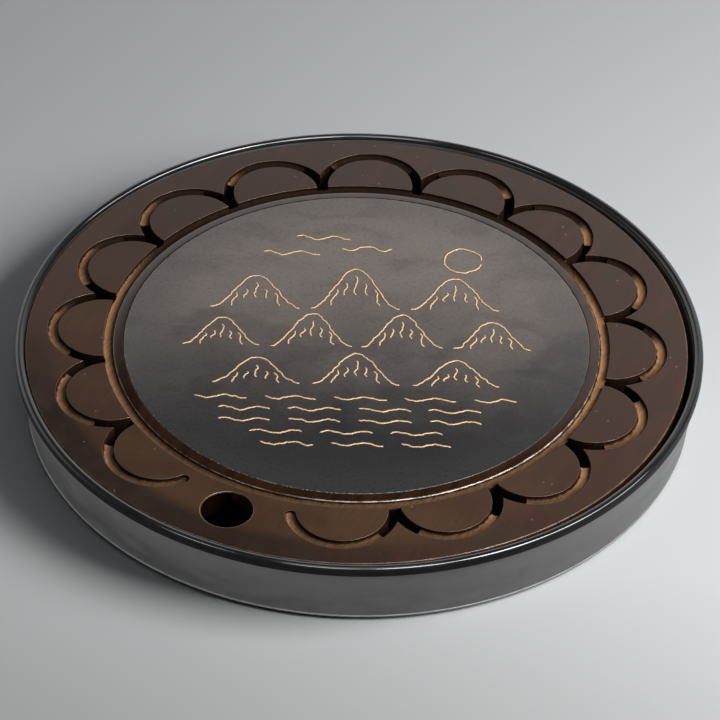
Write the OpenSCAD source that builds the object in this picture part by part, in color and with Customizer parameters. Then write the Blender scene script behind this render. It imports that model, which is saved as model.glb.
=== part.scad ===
// Round tea tray: a moulded water basin with a lift-out drain plate of wood,
// a slate disc let into the plate, and a landscape in gold line on the slate.
// Origin: centre of the surface the feet stand on. +Z up, +Y to the top of the picture.

/* [Basin] */
// Outer diameter over the rim
rim_d = 320; // [300:1:340]
// Width of the rounded rim, inside to outside
rim_w = 4.4; // [4:0.1:5]
// Height of the rim's crest above the top of the plate
rim_proud = 1.8; // [1:0.1:3]
// Depth of the rim's outer band below the top of the plate
band_drop = 2.6; // [2:0.1:5]
// Diameter of the wall where it meets the floor
base_d = 310; // [296:1:312]
// Thickness of the floor
floor_t = 3; // [2:0.1:4]

/* [Feet and pads] */
// Diameter of a rubber foot
foot_d = 20; // [14:1:26]
// Height that a foot stands proud of the basin
foot_proud = 0.8; // [0.5:0.1:2]
// Depth of the pocket that a foot is glued into
foot_pocket = 0.5; // [0.3:0.1:1]
// Radius that the feet stand on
foot_r = 135; // [110:1:140]
// Diameter of a silicone pad
pad_d = 8; // [6:0.5:9]
// Thickness of a silicone pad
pad_t = 1.2; // [0.8:0.1:2]
// Number of seat posts and pads
post_n = 8; // [6:1:8]

/* [Drain plate] */
// Diameter of the wooden plate
plate_d = 308; // [290:1:309]
// Thickness of the wooden plate
plate_t = 12; // [10:0.5:13]
// Height of the plate's top above the standing surface
plate_top = 33; // [30:0.5:36]
// How far the loose plate lies off centre in its seat, left and right
plate_x = -1.2; // [-1.2:0.1:1.2]
// How far the loose plate lies off centre in its seat, front to back
plate_y = -0.3; // [-0.4:0.1:0.4]
// Diameter of the finger hole
finger_d = 23; // [18:0.5:26]
// Radius that the finger hole is centred on
finger_r = 132.5; // [130:0.5:136]

/* [Petal grooves] */
// Number of sectors around the plate, one of them the finger hole
sectors = 16; // [16]
// Turn of the whole pattern about the plate's centre
pattern_a = -2.4; // [-10:0.1:10]
// Radius that the petals are centred on
petal_r = 118.8; // [118:0.1:120]
// Inner radius of a petal groove
groove_ri = 20.6; // [20:0.1:21]
// Outer radius of a petal groove
groove_ro = 25.6; // [25:0.1:26]
// Depth of the grooves
groove_h = 2.2; // [1.5:0.1:3]
// Half angle of the shallow middle of a petal, where its drain slots start
slot_a0 = 52; // [45:1:60]
// How much nearer together the walls of a drain slot are on each side than those of its groove
slot_in = 0.1; // [0.1:0.05:0.4]
// Half angle where the curved drain slots run into the straight throat
slot_a1 = 95; // [94:0.5:96]
// Width of the throat where two drain slots meet the ring groove
throat_w = 5.4; // [5.2:0.1:5.6]
// Half angle of a round groove end beside the finger hole
stop_a = 78; // [70:1:85]

/* [Slate] */
// Diameter of the slate disc
stone_d = 217; // [210:1:217]
// Thickness of the slate disc
stone_t = 7; // [5:0.5:8]
// Thickness of the adhesive bed under the slate
bed_t = 0.5; // [0.3:0.1:1]
// Outer diameter of the raised land around the slate
land_d = 226; // [224:0.5:228]
// Outer diameter of the ring groove
ring_d = 234.8; // [232:0.2:236]
// Width of a gold line
line_w = 0.9; // [0.6:0.1:1.2]
// Height of a gold line above the slate
line_h = 0.2; // [0.1:0.05:0.4]

/* [Hidden] */
$fn = 96;
eps = 0.01;
rim_ro = rim_d / 2;
rim_ri = rim_ro - rim_w;
rim_r = rim_w / 2;
rim_cz = plate_top + rim_proud - rim_r;      // centre of the rim's round top
base_r = base_d / 2;
band_z = plate_top - band_drop;              // underside of the rim's outer band
floor_z = foot_proud + floor_t;              // top of the basin's floor
plate_z = plate_top - plate_t;               // underside of the plate
post_z = plate_z - 0.3 - pad_t;              // top of a seat post
post_r = 149;
plate_r = plate_d / 2;
stone_r = stone_d / 2;
pocket_r = stone_r + 0.2;                    // radius of the pocket for the slate
pocket_z = plate_top - stone_t - bed_t;      // floor of that pocket
land_r = land_d / 2;
ring_r = ring_d / 2;
groove_w = groove_ro - groove_ri;
finger_k = 11;                               // the sector that holds the finger hole
seg_a = 360 / sectors;
// points of an arc, centre c, radius r, from angle a to angle b in n steps
function arc(c, r, a, b, n) = [for (i = [0:n]) c + r * [cos(a + (b - a) * i / n), sin(a + (b - a) * i / n)]];

// Strokes of a plain ornament, in millimetres on the slate, +Y to the top of the picture:
// rows of round hills with folds, water lines and a sky, laid out by formula.
HILLS = [
  [[-69.0, 22], [-66.7, 22.7], [-64.3, 24.8], [-62.0, 28.0], [-59.7, 31.9], [-57.3, 36.1], [-55.0, 40.0], [-52.7, 43.2], [-50.3, 45.3], [-48.0, 46.0], [-45.7, 45.3], [-43.3, 43.2], [-41.0, 40.0], [-38.7, 36.1], [-36.3, 31.9], [-34.0, 28.0], [-31.7, 24.8], [-29.3, 22.7], [-27.0, 22]],
  [[-22.0, 22], [-19.7, 22.9], [-17.3, 25.5], [-15.0, 29.5], [-12.7, 34.4], [-10.3, 39.6], [-8.0, 44.5], [-5.7, 48.5], [-3.3, 51.1], [-1.0, 52.0], [1.3, 51.1], [3.7, 48.5], [6.0, 44.5], [8.3, 39.6], [10.7, 34.4], [13.0, 29.5], [15.3, 25.5], [17.7, 22.9], [20.0, 22]],
  [[25.0, 22], [27.3, 22.7], [29.7, 24.8], [32.0, 28.0], [34.3, 31.9], [36.7, 36.1], [39.0, 40.0], [41.3, 43.2], [43.7, 45.3], [46.0, 46.0], [48.3, 45.3], [50.7, 43.2], [53.0, 40.0], [55.3, 36.1], [57.7, 31.9], [60.0, 28.0], [62.3, 24.8], [64.7, 22.7], [67.0, 22]],
  [[-81.0, -6], [-79.0, -5.4], [-77.0, -3.7], [-75.0, -1.0], [-73.0, 2.3], [-71.0, 5.7], [-69.0, 9.0], [-67.0, 11.7], [-65.0, 13.4], [-63.0, 14.0], [-61.0, 13.4], [-59.0, 11.7], [-57.0, 9.0], [-55.0, 5.7], [-53.0, 2.3], [-51.0, -1.0], [-49.0, -3.7], [-47.0, -5.4], [-45.0, -6]],
  [[-40.0, -6], [-37.9, -5.3], [-35.8, -3.2], [-33.7, -0.0], [-31.6, 3.9], [-29.4, 8.1], [-27.3, 12.0], [-25.2, 15.2], [-23.1, 17.3], [-21.0, 18.0], [-18.9, 17.3], [-16.8, 15.2], [-14.7, 12.0], [-12.6, 8.1], [-10.4, 3.9], [-8.3, -0.0], [-6.2, -3.2], [-4.1, -5.3], [-2.0, -6]],
  [[2.0, -6], [4.1, -5.3], [6.2, -3.2], [8.3, -0.0], [10.4, 3.9], [12.6, 8.1], [14.7, 12.0], [16.8, 15.2], [18.9, 17.3], [21.0, 18.0], [23.1, 17.3], [25.2, 15.2], [27.3, 12.0], [29.4, 8.1], [31.6, 3.9], [33.7, -0.0], [35.8, -3.2], [37.9, -5.3], [40.0, -6]],
  [[45.0, -6], [47.0, -5.4], [49.0, -3.7], [51.0, -1.0], [53.0, 2.3], [55.0, 5.7], [57.0, 9.0], [59.0, 11.7], [61.0, 13.4], [63.0, 14.0], [65.0, 13.4], [67.0, 11.7], [69.0, 9.0], [71.0, 5.7], [73.0, 2.3], [75.0, -1.0], [77.0, -3.7], [79.0, -5.4], [81.0, -6]],
  [[-66.0, -33], [-63.8, -32.5], [-61.6, -30.9], [-59.3, -28.5], [-57.1, -25.6], [-54.9, -22.4], [-52.7, -19.5], [-50.4, -17.1], [-48.2, -15.5], [-46.0, -15.0], [-43.8, -15.5], [-41.6, -17.1], [-39.3, -19.5], [-37.1, -22.4], [-34.9, -25.6], [-32.7, -28.5], [-30.4, -30.9], [-28.2, -32.5], [-26.0, -33]],
  [[-20.0, -33], [-17.8, -32.3], [-15.6, -30.4], [-13.3, -27.5], [-11.1, -23.9], [-8.9, -20.1], [-6.7, -16.5], [-4.4, -13.6], [-2.2, -11.7], [0.0, -11.0], [2.2, -11.7], [4.4, -13.6], [6.7, -16.5], [8.9, -20.1], [11.1, -23.9], [13.3, -27.5], [15.6, -30.4], [17.8, -32.3], [20.0, -33]],
  [[26.0, -33], [28.2, -32.5], [30.4, -30.9], [32.7, -28.5], [34.9, -25.6], [37.1, -22.4], [39.3, -19.5], [41.6, -17.1], [43.8, -15.5], [46.0, -15.0], [48.2, -15.5], [50.4, -17.1], [52.7, -19.5], [54.9, -22.4], [57.1, -25.6], [59.3, -28.5], [61.6, -30.9], [63.8, -32.5], [66.0, -33]]];
FOLDS = [
  [[-56.8, 33.0], [-56.8, 30.5], [-58.1, 27.9], [-59.5, 25.4], [-59.5, 22.9]],
  [[-48.0, 41.0], [-47.3, 38.0], [-48.0, 35.0], [-48.7, 32.0], [-48.0, 29.0]],
  [[-39.2, 33.0], [-37.8, 30.5], [-37.9, 27.9], [-37.9, 25.4], [-36.5, 22.9]],
  [[-9.8, 36.7], [-9.8, 33.6], [-11.1, 30.4], [-12.5, 27.3], [-12.5, 24.1]],
  [[-1.0, 47.0], [-0.3, 43.2], [-1.0, 39.5], [-1.7, 35.8], [-1.0, 32.0]],
  [[7.8, 36.7], [9.2, 33.6], [9.1, 30.4], [9.1, 27.3], [10.5, 24.1]],
  [[37.2, 33.0], [37.2, 30.5], [35.9, 27.9], [34.5, 25.4], [34.5, 22.9]],
  [[46.0, 41.0], [46.7, 38.0], [46.0, 35.0], [45.3, 32.0], [46.0, 29.0]],
  [[54.8, 33.0], [56.2, 30.5], [56.1, 27.9], [56.1, 25.4], [57.5, 22.9]],
  [[-70.6, 2.5], [-70.4, 0.4], [-71.7, -1.7], [-73.0, -3.8], [-72.8, -5.9]],
  [[-63.0, 9.0], [-62.3, 6.5], [-63.0, 4.0], [-63.7, 1.5], [-63.0, -1.0]],
  [[-55.4, 2.5], [-54.2, 0.4], [-54.3, -1.7], [-54.4, -3.8], [-53.2, -5.9]],
  [[-29.0, 5.0], [-28.9, 2.5], [-30.2, -0.1], [-31.5, -2.6], [-31.4, -5.1]],
  [[-21.0, 13.0], [-20.3, 10.0], [-21.0, 7.0], [-21.7, 4.0], [-21.0, 1.0]],
  [[-13.0, 5.0], [-11.7, 2.5], [-11.8, -0.1], [-11.9, -2.6], [-10.6, -5.1]],
  [[13.0, 5.0], [13.1, 2.5], [11.8, -0.1], [10.5, -2.6], [10.6, -5.1]],
  [[21.0, 13.0], [21.7, 10.0], [21.0, 7.0], [20.3, 4.0], [21.0, 1.0]],
  [[29.0, 5.0], [30.3, 2.5], [30.2, -0.1], [30.1, -2.6], [31.4, -5.1]],
  [[55.4, 2.5], [55.6, 0.4], [54.3, -1.7], [53.0, -3.8], [53.2, -5.9]],
  [[63.0, 9.0], [63.7, 6.5], [63.0, 4.0], [62.3, 1.5], [63.0, -1.0]],
  [[70.6, 2.5], [71.8, 0.4], [71.7, -1.7], [71.6, -3.8], [72.8, -5.9]],
  [[-54.4, -25.8], [-54.3, -27.7], [-55.7, -29.5], [-57.0, -31.4], [-56.9, -33.3]],
  [[-46.0, -20.0], [-45.3, -22.2], [-46.0, -24.5], [-46.7, -26.8], [-46.0, -29.0]],
  [[-37.6, -25.8], [-36.3, -27.7], [-36.3, -29.5], [-36.4, -31.4], [-35.1, -33.3]],
  [[-8.4, -23.3], [-8.3, -25.6], [-9.7, -27.9], [-11.0, -30.2], [-10.9, -32.5]],
  [[0.0, -16.0], [0.7, -18.8], [0.0, -21.5], [-0.7, -24.2], [-0.0, -27.0]],
  [[8.4, -23.3], [9.7, -25.6], [9.7, -27.9], [9.6, -30.2], [10.9, -32.5]],
  [[37.6, -25.8], [37.7, -27.7], [36.3, -29.5], [35.0, -31.4], [35.1, -33.3]],
  [[46.0, -20.0], [46.7, -22.2], [46.0, -24.5], [45.3, -26.8], [46.0, -29.0]],
  [[54.4, -25.8], [55.7, -27.7], [55.7, -29.5], [55.6, -31.4], [56.9, -33.3]]];
WATER = [
  [[-73.8, -42.3], [-70.4, -43.7], [-66.9, -44.0], [-63.5, -42.8], [-60.1, -41.9], [-56.6, -42.7], [-53.2, -44.0], [-49.8, -43.7]],
  [[-41.8, -42.3], [-38.4, -43.7], [-34.9, -44.0], [-31.5, -42.8], [-28.1, -41.9], [-24.6, -42.7], [-21.2, -44.0], [-17.8, -43.7]],
  [[-9.8, -42.3], [-6.4, -43.7], [-2.9, -44.0], [0.5, -42.8], [3.9, -41.9], [7.4, -42.7], [10.8, -44.0], [14.2, -43.7]],
  [[22.2, -42.3], [25.6, -43.7], [29.1, -44.0], [32.5, -42.8], [35.9, -41.9], [39.4, -42.7], [42.8, -44.0], [46.2, -43.7]],
  [[54.2, -42.3], [57.5, -43.6], [60.7, -44.1], [64.0, -43.0], [67.3, -41.9], [70.5, -42.4], [73.8, -43.7]],
  [[-62.7, -50.5], [-59.3, -49.9], [-55.9, -51.1], [-52.4, -52.1], [-49.0, -51.4], [-45.6, -50.1], [-42.1, -50.2], [-38.7, -51.5]],
  [[-30.7, -50.5], [-27.3, -49.9], [-23.9, -51.1], [-20.4, -52.1], [-17.0, -51.4], [-13.6, -50.1], [-10.1, -50.2], [-6.7, -51.5]],
  [[1.3, -50.5], [4.7, -49.9], [8.1, -51.1], [11.6, -52.1], [15.0, -51.4], [18.4, -50.1], [21.9, -50.2], [25.3, -51.5]],
  [[33.3, -50.5], [36.7, -49.9], [40.1, -51.1], [43.6, -52.1], [47.0, -51.4], [50.4, -50.1], [53.9, -50.2], [57.3, -51.5]],
  [[-62.3, -58.3], [-58.9, -58.0], [-55.4, -59.2], [-52.0, -60.1], [-48.6, -59.2], [-45.1, -58.0], [-41.7, -58.3], [-38.3, -59.7]],
  [[-30.3, -58.3], [-26.9, -58.0], [-23.4, -59.2], [-20.0, -60.1], [-16.6, -59.2], [-13.1, -58.0], [-9.7, -58.3], [-6.3, -59.7]],
  [[1.7, -58.3], [5.1, -58.0], [8.6, -59.2], [12.0, -60.1], [15.4, -59.2], [18.9, -58.0], [22.3, -58.3], [25.7, -59.7]],
  [[33.7, -58.3], [37.1, -58.0], [40.6, -59.2], [44.0, -60.1], [47.4, -59.2], [50.9, -58.0], [54.3, -58.3], [57.7, -59.7]],
  [[-48.1, -67.0], [-44.6, -65.9], [-41.2, -66.5], [-37.8, -67.8], [-34.3, -67.9], [-30.9, -66.5], [-27.5, -65.9], [-24.1, -67.0]],
  [[-16.1, -67.0], [-12.6, -65.9], [-9.2, -66.5], [-5.8, -67.8], [-2.3, -67.9], [1.1, -66.5], [4.5, -65.9], [7.9, -67.0]],
  [[15.9, -67.0], [19.4, -65.9], [22.8, -66.5], [26.2, -67.8], [29.7, -67.9], [33.1, -66.5], [36.5, -65.9], [39.9, -67.0]],
  [[-43.0, -74.0], [-39.6, -75.2], [-36.2, -76.1], [-32.7, -75.3], [-29.3, -74.0], [-25.9, -74.3], [-22.5, -75.6], [-19.0, -76.0]],
  [[-11.0, -74.0], [-7.6, -75.2], [-4.2, -76.1], [-0.7, -75.3], [2.7, -74.0], [6.1, -74.3], [9.5, -75.6], [13.0, -76.0]],
  [[21.0, -74.0], [24.6, -75.3], [28.3, -76.1], [32.0, -75.0], [35.7, -73.9], [39.4, -74.7], [43.0, -76.0]]];
SKY = [
  [[-46.0, 65.1], [-42.5, 65.3], [-39.0, 63.4], [-35.5, 62.4], [-32.0, 64.0], [-28.5, 65.6], [-25.0, 64.6], [-21.5, 62.7], [-18.0, 62.9]],
  [[-8.0, 68.0], [-4.6, 66.4], [-1.1, 67.3], [2.3, 69.3], [5.7, 69.3], [9.1, 67.3], [12.6, 66.4], [16.0, 68.0]],
  [[-30.0, 77.1], [-26.8, 77.4], [-23.5, 75.7], [-20.2, 74.4], [-17.0, 75.4], [-13.8, 77.2], [-10.5, 77.3], [-7.2, 75.5], [-4.0, 74.4]],
  [[59.0, 60.0], [58.6, 62.7], [57.4, 65.1], [55.6, 67.0], [53.3, 68.4], [50.6, 69.0], [48.0, 68.8], [45.5, 67.8], [43.4, 66.1], [41.9, 63.8], [41.1, 61.3], [41.1, 58.6], [41.9, 56.0], [43.5, 53.8], [45.6, 52.2], [48.1, 51.2], [50.8, 51.0], [53.4, 51.7], [55.7, 53.0], [57.5, 55.0], [58.6, 57.5]]];
STROKES = concat(HILLS, FOLDS, WATER, SKY);

// unit direction of a stroke at point i
function seg(p, i) = let (a = p[max(i - 1, 0)], b = p[min(i + 1, len(p) - 1)], d = b - a) d / norm(d);
// one side of a stroke, s = 1 for left and -1 for right
function side(p, s, w) = [for (i = [0:len(p) - 1]) let (d = seg(p, i)) p[i] + s * w / 2 * [-d[1], d[0]]];
function rev(v) = [for (i = [len(v) - 1:-1:0]) v[i]];

module basin_section() {
  polygon(concat(
    [[0, foot_proud], [base_r - 2.4, foot_proud]],
    arc([base_r - 2, foot_proud + 2.2], 2.2, -80, -8, 6),
    [[rim_ro - 0.8, band_z - 0.6], [rim_ro - 0.7, band_z]],
    arc([rim_ro - 0.5, band_z + 0.5], 0.5, -80, 0, 3),
    arc([rim_ro - rim_r, rim_cz], rim_r, 0, 180, 20),
    [[rim_ri, plate_z - 0.5], [rim_ri - 3.2, floor_z + 3]],
    arc([rim_ri - 6.2, floor_z + 3], 3, 0, -90, 6),
    [[0, floor_z]]));
}

module seat_post() {
  translate([post_r, 0, floor_z - 1]) cylinder(d = 10, h = post_z - floor_z + 1);
  // web that ties the post to the wall
  translate([post_r, -1.5, floor_z - 1]) cube([5.2, 3, post_z - 3 - floor_z + 1]);
}

module basin() {
  color([0.10, 0.10, 0.105]) difference() {
    union() {
      rotate_extrude($fn = 180) basin_section();
      for (i = [0:post_n - 1]) rotate(i * 360 / post_n) seat_post();
    }
    for (a = [45:90:315]) rotate(a) translate([foot_r, 0, 0])
      cylinder(d = foot_d + 0.4, h = foot_proud + foot_pocket);
  }
}

module foot() {
  rotate_extrude() polygon([[0, 0], [foot_d / 2 - 0.3, 0], [foot_d / 2, 0.3],
    [foot_d / 2, foot_proud + foot_pocket], [0, foot_proud + foot_pocket]]);
}

module feet() {
  color([0.05, 0.05, 0.05]) for (a = [45:90:315]) rotate(a) translate([foot_r, 0, 0]) foot();
}

module seat_pads() {
  color([0.78, 0.78, 0.76]) for (i = [0:post_n - 1]) rotate(i * 360 / post_n)
    translate([post_r, 0, post_z]) cylinder(d = pad_d, h = pad_t);
}

// one arc of a petal, from angle a to angle b about the petal's axis, from height z0 to z1, each wall set in by inset
module petal_arc(a, b, z0, z1, inset = 0) {
  rotate(a) rotate_extrude(angle = b - a, $fn = 120)
    translate([groove_ri + inset, z0]) square([groove_w - 2 * inset, z1 - z0]);
}

module petal(k) {
  lo = k == finger_k + 1;   // the groove's start stops short, beside the finger hole
  hi = k == finger_k - 1;   // its end stops short
  rotate(pattern_a + k * seg_a) translate([petal_r, 0, 0]) {
    petal_arc(lo ? -stop_a : -slot_a0 - 0.3, hi ? stop_a : slot_a0 + 0.3, plate_top - groove_h, plate_top + 1);
    // the drain slots go right through and are a little narrower than the groove
    if (!lo) petal_arc(-slot_a1, -slot_a0, plate_z - 1, plate_top + 1, slot_in);
    if (!hi) petal_arc(slot_a0, slot_a1, plate_z - 1, plate_top + 1, slot_in);
    // round end, a plunge of the cutter that goes 0.1 mm deeper
    if (lo || hi) rotate(lo ? -stop_a : stop_a) translate([(groove_ri + groove_ro) / 2, 0, plate_top - groove_h - 0.1])
      cylinder(d = groove_w + 0.2, h = groove_h + 1.1, $fn = 48);
  }
}

// the straight throat of the forked slot between petal k and the next one
module throat(k) {
  rotate(pattern_a + (k + 0.5) * seg_a) translate([ring_r - 0.4, -throat_w / 2, plate_z - 1])
    cube([3.6, throat_w, plate_t + 2]);
}

module drain_plate() {
  color([0.20, 0.13, 0.09]) translate([plate_x, plate_y, 0]) difference() {
    rotate_extrude($fn = 180) polygon([[0, plate_z], [plate_r - 1, plate_z], [plate_r, plate_z + 1],
      [plate_r, plate_top - 0.6], [plate_r - 0.6, plate_top],
      [ring_r, plate_top], [ring_r, plate_top - groove_h], [land_r, plate_top - groove_h],
      [land_r, plate_top - 0.6], [land_r - 2, plate_top - 0.22], [pocket_r, plate_top],
      [pocket_r, pocket_z], [0, pocket_z]]);
    for (k = [0:sectors - 1]) if (k != finger_k) petal(k);
    for (k = [0:sectors - 1]) if (k != finger_k && k != finger_k - 1) throat(k);
    rotate(pattern_a + finger_k * seg_a) translate([finger_r, 0, plate_z - 1])
      cylinder(d = finger_d, h = plate_t + 2);
  }
}

module slate_bed() {
  color([0.55, 0.50, 0.42]) translate([plate_x, plate_y, pocket_z]) cylinder(r = stone_r - 1, h = bed_t, $fn = 180);
}

module slate_disc() {
  color([0.24, 0.24, 0.25]) translate([plate_x, plate_y, 0]) rotate_extrude($fn = 180)
    polygon([[0, pocket_z + bed_t], [stone_r, pocket_z + bed_t], [stone_r, plate_top - 0.4],
      [stone_r - 0.4, plate_top], [0, plate_top]]);
}

module gold_lines() {
  color([0.85, 0.68, 0.42]) translate([plate_x, plate_y, plate_top])
    for (p = STROKES) linear_extrude(line_h) polygon(concat(side(p, 1, line_w), rev(side(p, -1, line_w))));
}

basin();
feet();
seat_pads();
drain_plate();
slate_bed();
slate_disc();
gold_lines();
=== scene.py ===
# Looks for a round tea tray: basin, feet, pads, drain plate, slate and gold lines.
# Lengths in the code are millimetres unless a name says otherwise; MM turns them into metres.
import math
import random

import bpy
import numpy as np
from mathutils import Matrix, Vector, noise


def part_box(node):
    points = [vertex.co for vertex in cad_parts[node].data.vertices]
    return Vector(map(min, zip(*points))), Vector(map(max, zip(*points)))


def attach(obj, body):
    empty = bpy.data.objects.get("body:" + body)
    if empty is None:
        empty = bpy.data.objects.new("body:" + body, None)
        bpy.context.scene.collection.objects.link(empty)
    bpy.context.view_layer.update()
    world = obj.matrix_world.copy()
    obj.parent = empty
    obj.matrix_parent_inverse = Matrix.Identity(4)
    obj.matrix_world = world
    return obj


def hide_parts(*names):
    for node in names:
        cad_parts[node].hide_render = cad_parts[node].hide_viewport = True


MM = 0.001
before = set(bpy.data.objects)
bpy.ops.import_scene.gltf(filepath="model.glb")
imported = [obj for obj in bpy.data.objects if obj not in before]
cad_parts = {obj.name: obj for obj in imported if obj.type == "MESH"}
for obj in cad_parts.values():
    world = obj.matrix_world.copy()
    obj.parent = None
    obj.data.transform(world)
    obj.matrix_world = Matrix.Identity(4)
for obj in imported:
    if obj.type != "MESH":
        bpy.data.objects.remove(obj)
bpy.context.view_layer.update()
scene = bpy.context.scene
scene.view_settings.view_transform = "Standard"

# ---------------------------------------------------------------- places, all from the frame
BAS_LO, BAS_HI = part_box("basin")
PL_LO, PL_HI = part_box("drain_plate")
ST_LO, ST_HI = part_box("slate_disc")
FT_LO, FT_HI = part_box("feet")
PD_LO, PD_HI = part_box("seat_pads")
GL_LO, GL_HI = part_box("gold_lines")
CX = (PL_LO.x + PL_HI.x) / 2 / MM          # centre of the loose plate
CY = (PL_LO.y + PL_HI.y) / 2 / MM
TOP = PL_HI.z / MM                         # top of the plate
LOW = PL_LO.z / MM                         # underside of the plate
PR = (PL_HI.x - PL_LO.x) / 2 / MM          # plate radius
RO = (BAS_HI.x - BAS_LO.x) / 2 / MM        # rim radius
RIM_TOP = BAS_HI.z / MM
BASE_Z = BAS_LO.z / MM
SR = (ST_HI.x - ST_LO.x) / 2 / MM          # slate radius
PETAL_R, GRI, GRO, GH = 118.8, 20.6, 25.6, 2.2
PATTERN, SEG, FINGER_K, FINGER_R, FINGER_D = -2.4, 22.5, 11, 132.5, 23.0
LAND_R, RING_R = 113.5, 117.8


# ---------------------------------------------------------------- mesh helpers
def mesh_object(name, verts, faces, smooth=True):
    me = bpy.data.meshes.new(name)
    me.from_pydata([(x * MM, y * MM, z * MM) for x, y, z in verts], [], faces)
    me.validate()
    me.update()
    if smooth:
        me.shade_smooth()
    ob = bpy.data.objects.new(name, me)
    scene.collection.objects.link(ob)
    return ob


def arc(cx, cy, r, a, b, n):
    return [(cx + r * math.cos(math.radians(a + (b - a) * i / n)),
             cy + r * math.sin(math.radians(a + (b - a) * i / n))) for i in range(n + 1)]


def lathe(profile, segs, centre=(0.0, 0.0), flip=False):
    """Closed solid of revolution. profile runs from the axis to the axis, as (radius, z)."""
    verts, faces, rings = [], [], []
    for r, z in profile:
        if r < 1e-9:
            rings.append([len(verts)])
            verts.append((centre[0], centre[1], z))
        else:
            rings.append(list(range(len(verts), len(verts) + segs)))
            for i in range(segs):
                a = 2 * math.pi * i / segs
                verts.append((centre[0] + r * math.cos(a), centre[1] + r * math.sin(a), z))
    for p, q in zip(rings, rings[1:]):
        for i in range(segs):
            j = (i + 1) % segs
            if len(p) == 1 and len(q) == 1:
                continue
            if len(p) == 1:
                f = (p[0], q[j], q[i])
            elif len(q) == 1:
                f = (p[i], p[j], q[0])
            else:
                f = (p[i], p[j], q[j], q[i])
            faces.append(f[::-1] if flip else f)
    return verts, faces


def join(parts):
    verts, faces = [], []
    for v, f in parts:
        o = len(verts)
        verts += v
        faces += [tuple(i + o for i in g) for g in f]
    return verts, faces


def move(part, dx=0.0, dy=0.0, dz=0.0, turn=0.0):
    v, f = part
    c, s = math.cos(math.radians(turn)), math.sin(math.radians(turn))
    return [(c * x - s * y + dx, s * x + c * y + dy, z + dz) for x, y, z in v], f


def volume_sign(part):
    v, f = part
    a = np.array(v)
    t = 0.0
    for g in f:
        for i in range(1, len(g) - 1):
            t += float(np.dot(a[g[0]], np.cross(a[g[i]], a[g[i + 1]])))
    return t


def outward(part):
    v, f = part
    return (v, [g[::-1] for g in f]) if volume_sign(part) < 0 else part


def stack(outlines):
    """Solid through outlines of equal point count: a list of (points, z), from low to high."""
    n = len(outlines[0][0])
    verts = [(x, y, z) for pts, z in outlines for x, y in pts]
    faces = [tuple(range(n))[::-1]]
    for k in range(len(outlines) - 1):
        for i in range(n):
            j = (i + 1) % n
            faces.append((k * n + i, k * n + j, (k + 1) * n + j, (k + 1) * n + i))
    faces.append(tuple(range((len(outlines) - 1) * n, len(outlines) * n)))
    return outward((verts, faces))


def boolean(ob, part, operation="DIFFERENCE"):
    cutter = mesh_object("cutter", *part)
    m = ob.modifiers.new("cut", "BOOLEAN")
    m.operation = operation
    m.solver = "MANIFOLD"
    m.object = cutter
    dg = bpy.context.evaluated_depsgraph_get()
    me = bpy.data.meshes.new_from_object(ob.evaluated_get(dg))
    if len(me.polygons) == 0:
        m.solver = "EXACT"
        dg = bpy.context.evaluated_depsgraph_get()
        me = bpy.data.meshes.new_from_object(ob.evaluated_get(dg))
    ob.modifiers.clear()
    old = ob.data
    ob.data = me
    bpy.data.meshes.remove(old)
    bpy.data.objects.remove(cutter)


def crease(ob, angle=32.0):
    """Smooth faces, sharp edges by angle, and normals weighted by face area."""
    me = ob.data
    me.shade_smooth()
    me.set_sharp_from_angle(angle=math.radians(angle))
    w = ob.modifiers.new("normals", "WEIGHTED_NORMAL")
    w.mode = "FACE_AREA"
    w.weight = 50
    w.keep_sharp = True
    dg = bpy.context.evaluated_depsgraph_get()
    new = bpy.data.meshes.new_from_object(ob.evaluated_get(dg))
    ob.modifiers.clear()
    ob.data = new
    bpy.data.meshes.remove(me)


# ---------------------------------------------------------------- node helpers
def material(name):
    m = bpy.data.materials.new(name)
    m.use_nodes = True
    nt = m.node_tree
    nt.nodes.clear()
    out = nt.nodes.new("ShaderNodeOutputMaterial")
    b = nt.nodes.new("ShaderNodeBsdfPrincipled")
    nt.links.new(b.outputs["BSDF"], out.inputs["Surface"])
    return m, nt, b


def put(nt, socket, v):
    if isinstance(v, bpy.types.NodeSocket):
        nt.links.new(v, socket)
    elif v is not None:
        if socket.type == "RGBA" and len(v) == 3:
            v = (*v, 1.0)
        socket.default_value = v


def math_(nt, op, a, b=None, c=None, clamp=False):
    n = nt.nodes.new("ShaderNodeMath")
    n.operation = op
    n.use_clamp = clamp
    put(nt, n.inputs[0], a)
    if b is not None:
        put(nt, n.inputs[1], b)
    if c is not None:
        put(nt, n.inputs[2], c)
    return n.outputs[0]


def ramp(nt, v, lo, hi, a=0.0, b=1.0, smooth=True):
    n = nt.nodes.new("ShaderNodeMapRange")
    n.interpolation_type = "SMOOTHSTEP" if smooth else "LINEAR"
    for i, x in enumerate((v, lo, hi, a, b)):
        put(nt, n.inputs[i], x)
    return n.outputs[0]


def mix(nt, fac, a, b, mode="MIX"):
    n = nt.nodes.new("ShaderNodeMix")
    n.data_type = "RGBA"
    n.blend_type = mode
    put(nt, n.inputs[0], fac)
    put(nt, n.inputs[6], a)
    put(nt, n.inputs[7], b)
    return n.outputs[2]


def vec(nt, op, a, b=None, scale=None):
    n = nt.nodes.new("ShaderNodeVectorMath")
    n.operation = op
    put(nt, n.inputs[0], a)
    if b is not None:
        put(nt, n.inputs[1], b)
    if scale is not None:
        put(nt, n.inputs["Scale"], scale)
    return n.outputs["Value"] if op in ("LENGTH", "DOT_PRODUCT", "DISTANCE") else n.outputs["Vector"]


def mapping(nt, v, loc=(0, 0, 0), rot=(0, 0, 0), scale=(1, 1, 1)):
    n = nt.nodes.new("ShaderNodeMapping")
    put(nt, n.inputs["Vector"], v)
    n.inputs["Location"].default_value = loc
    n.inputs["Rotation"].default_value = [math.radians(x) for x in rot]
    n.inputs["Scale"].default_value = scale
    return n.outputs[0]


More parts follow.
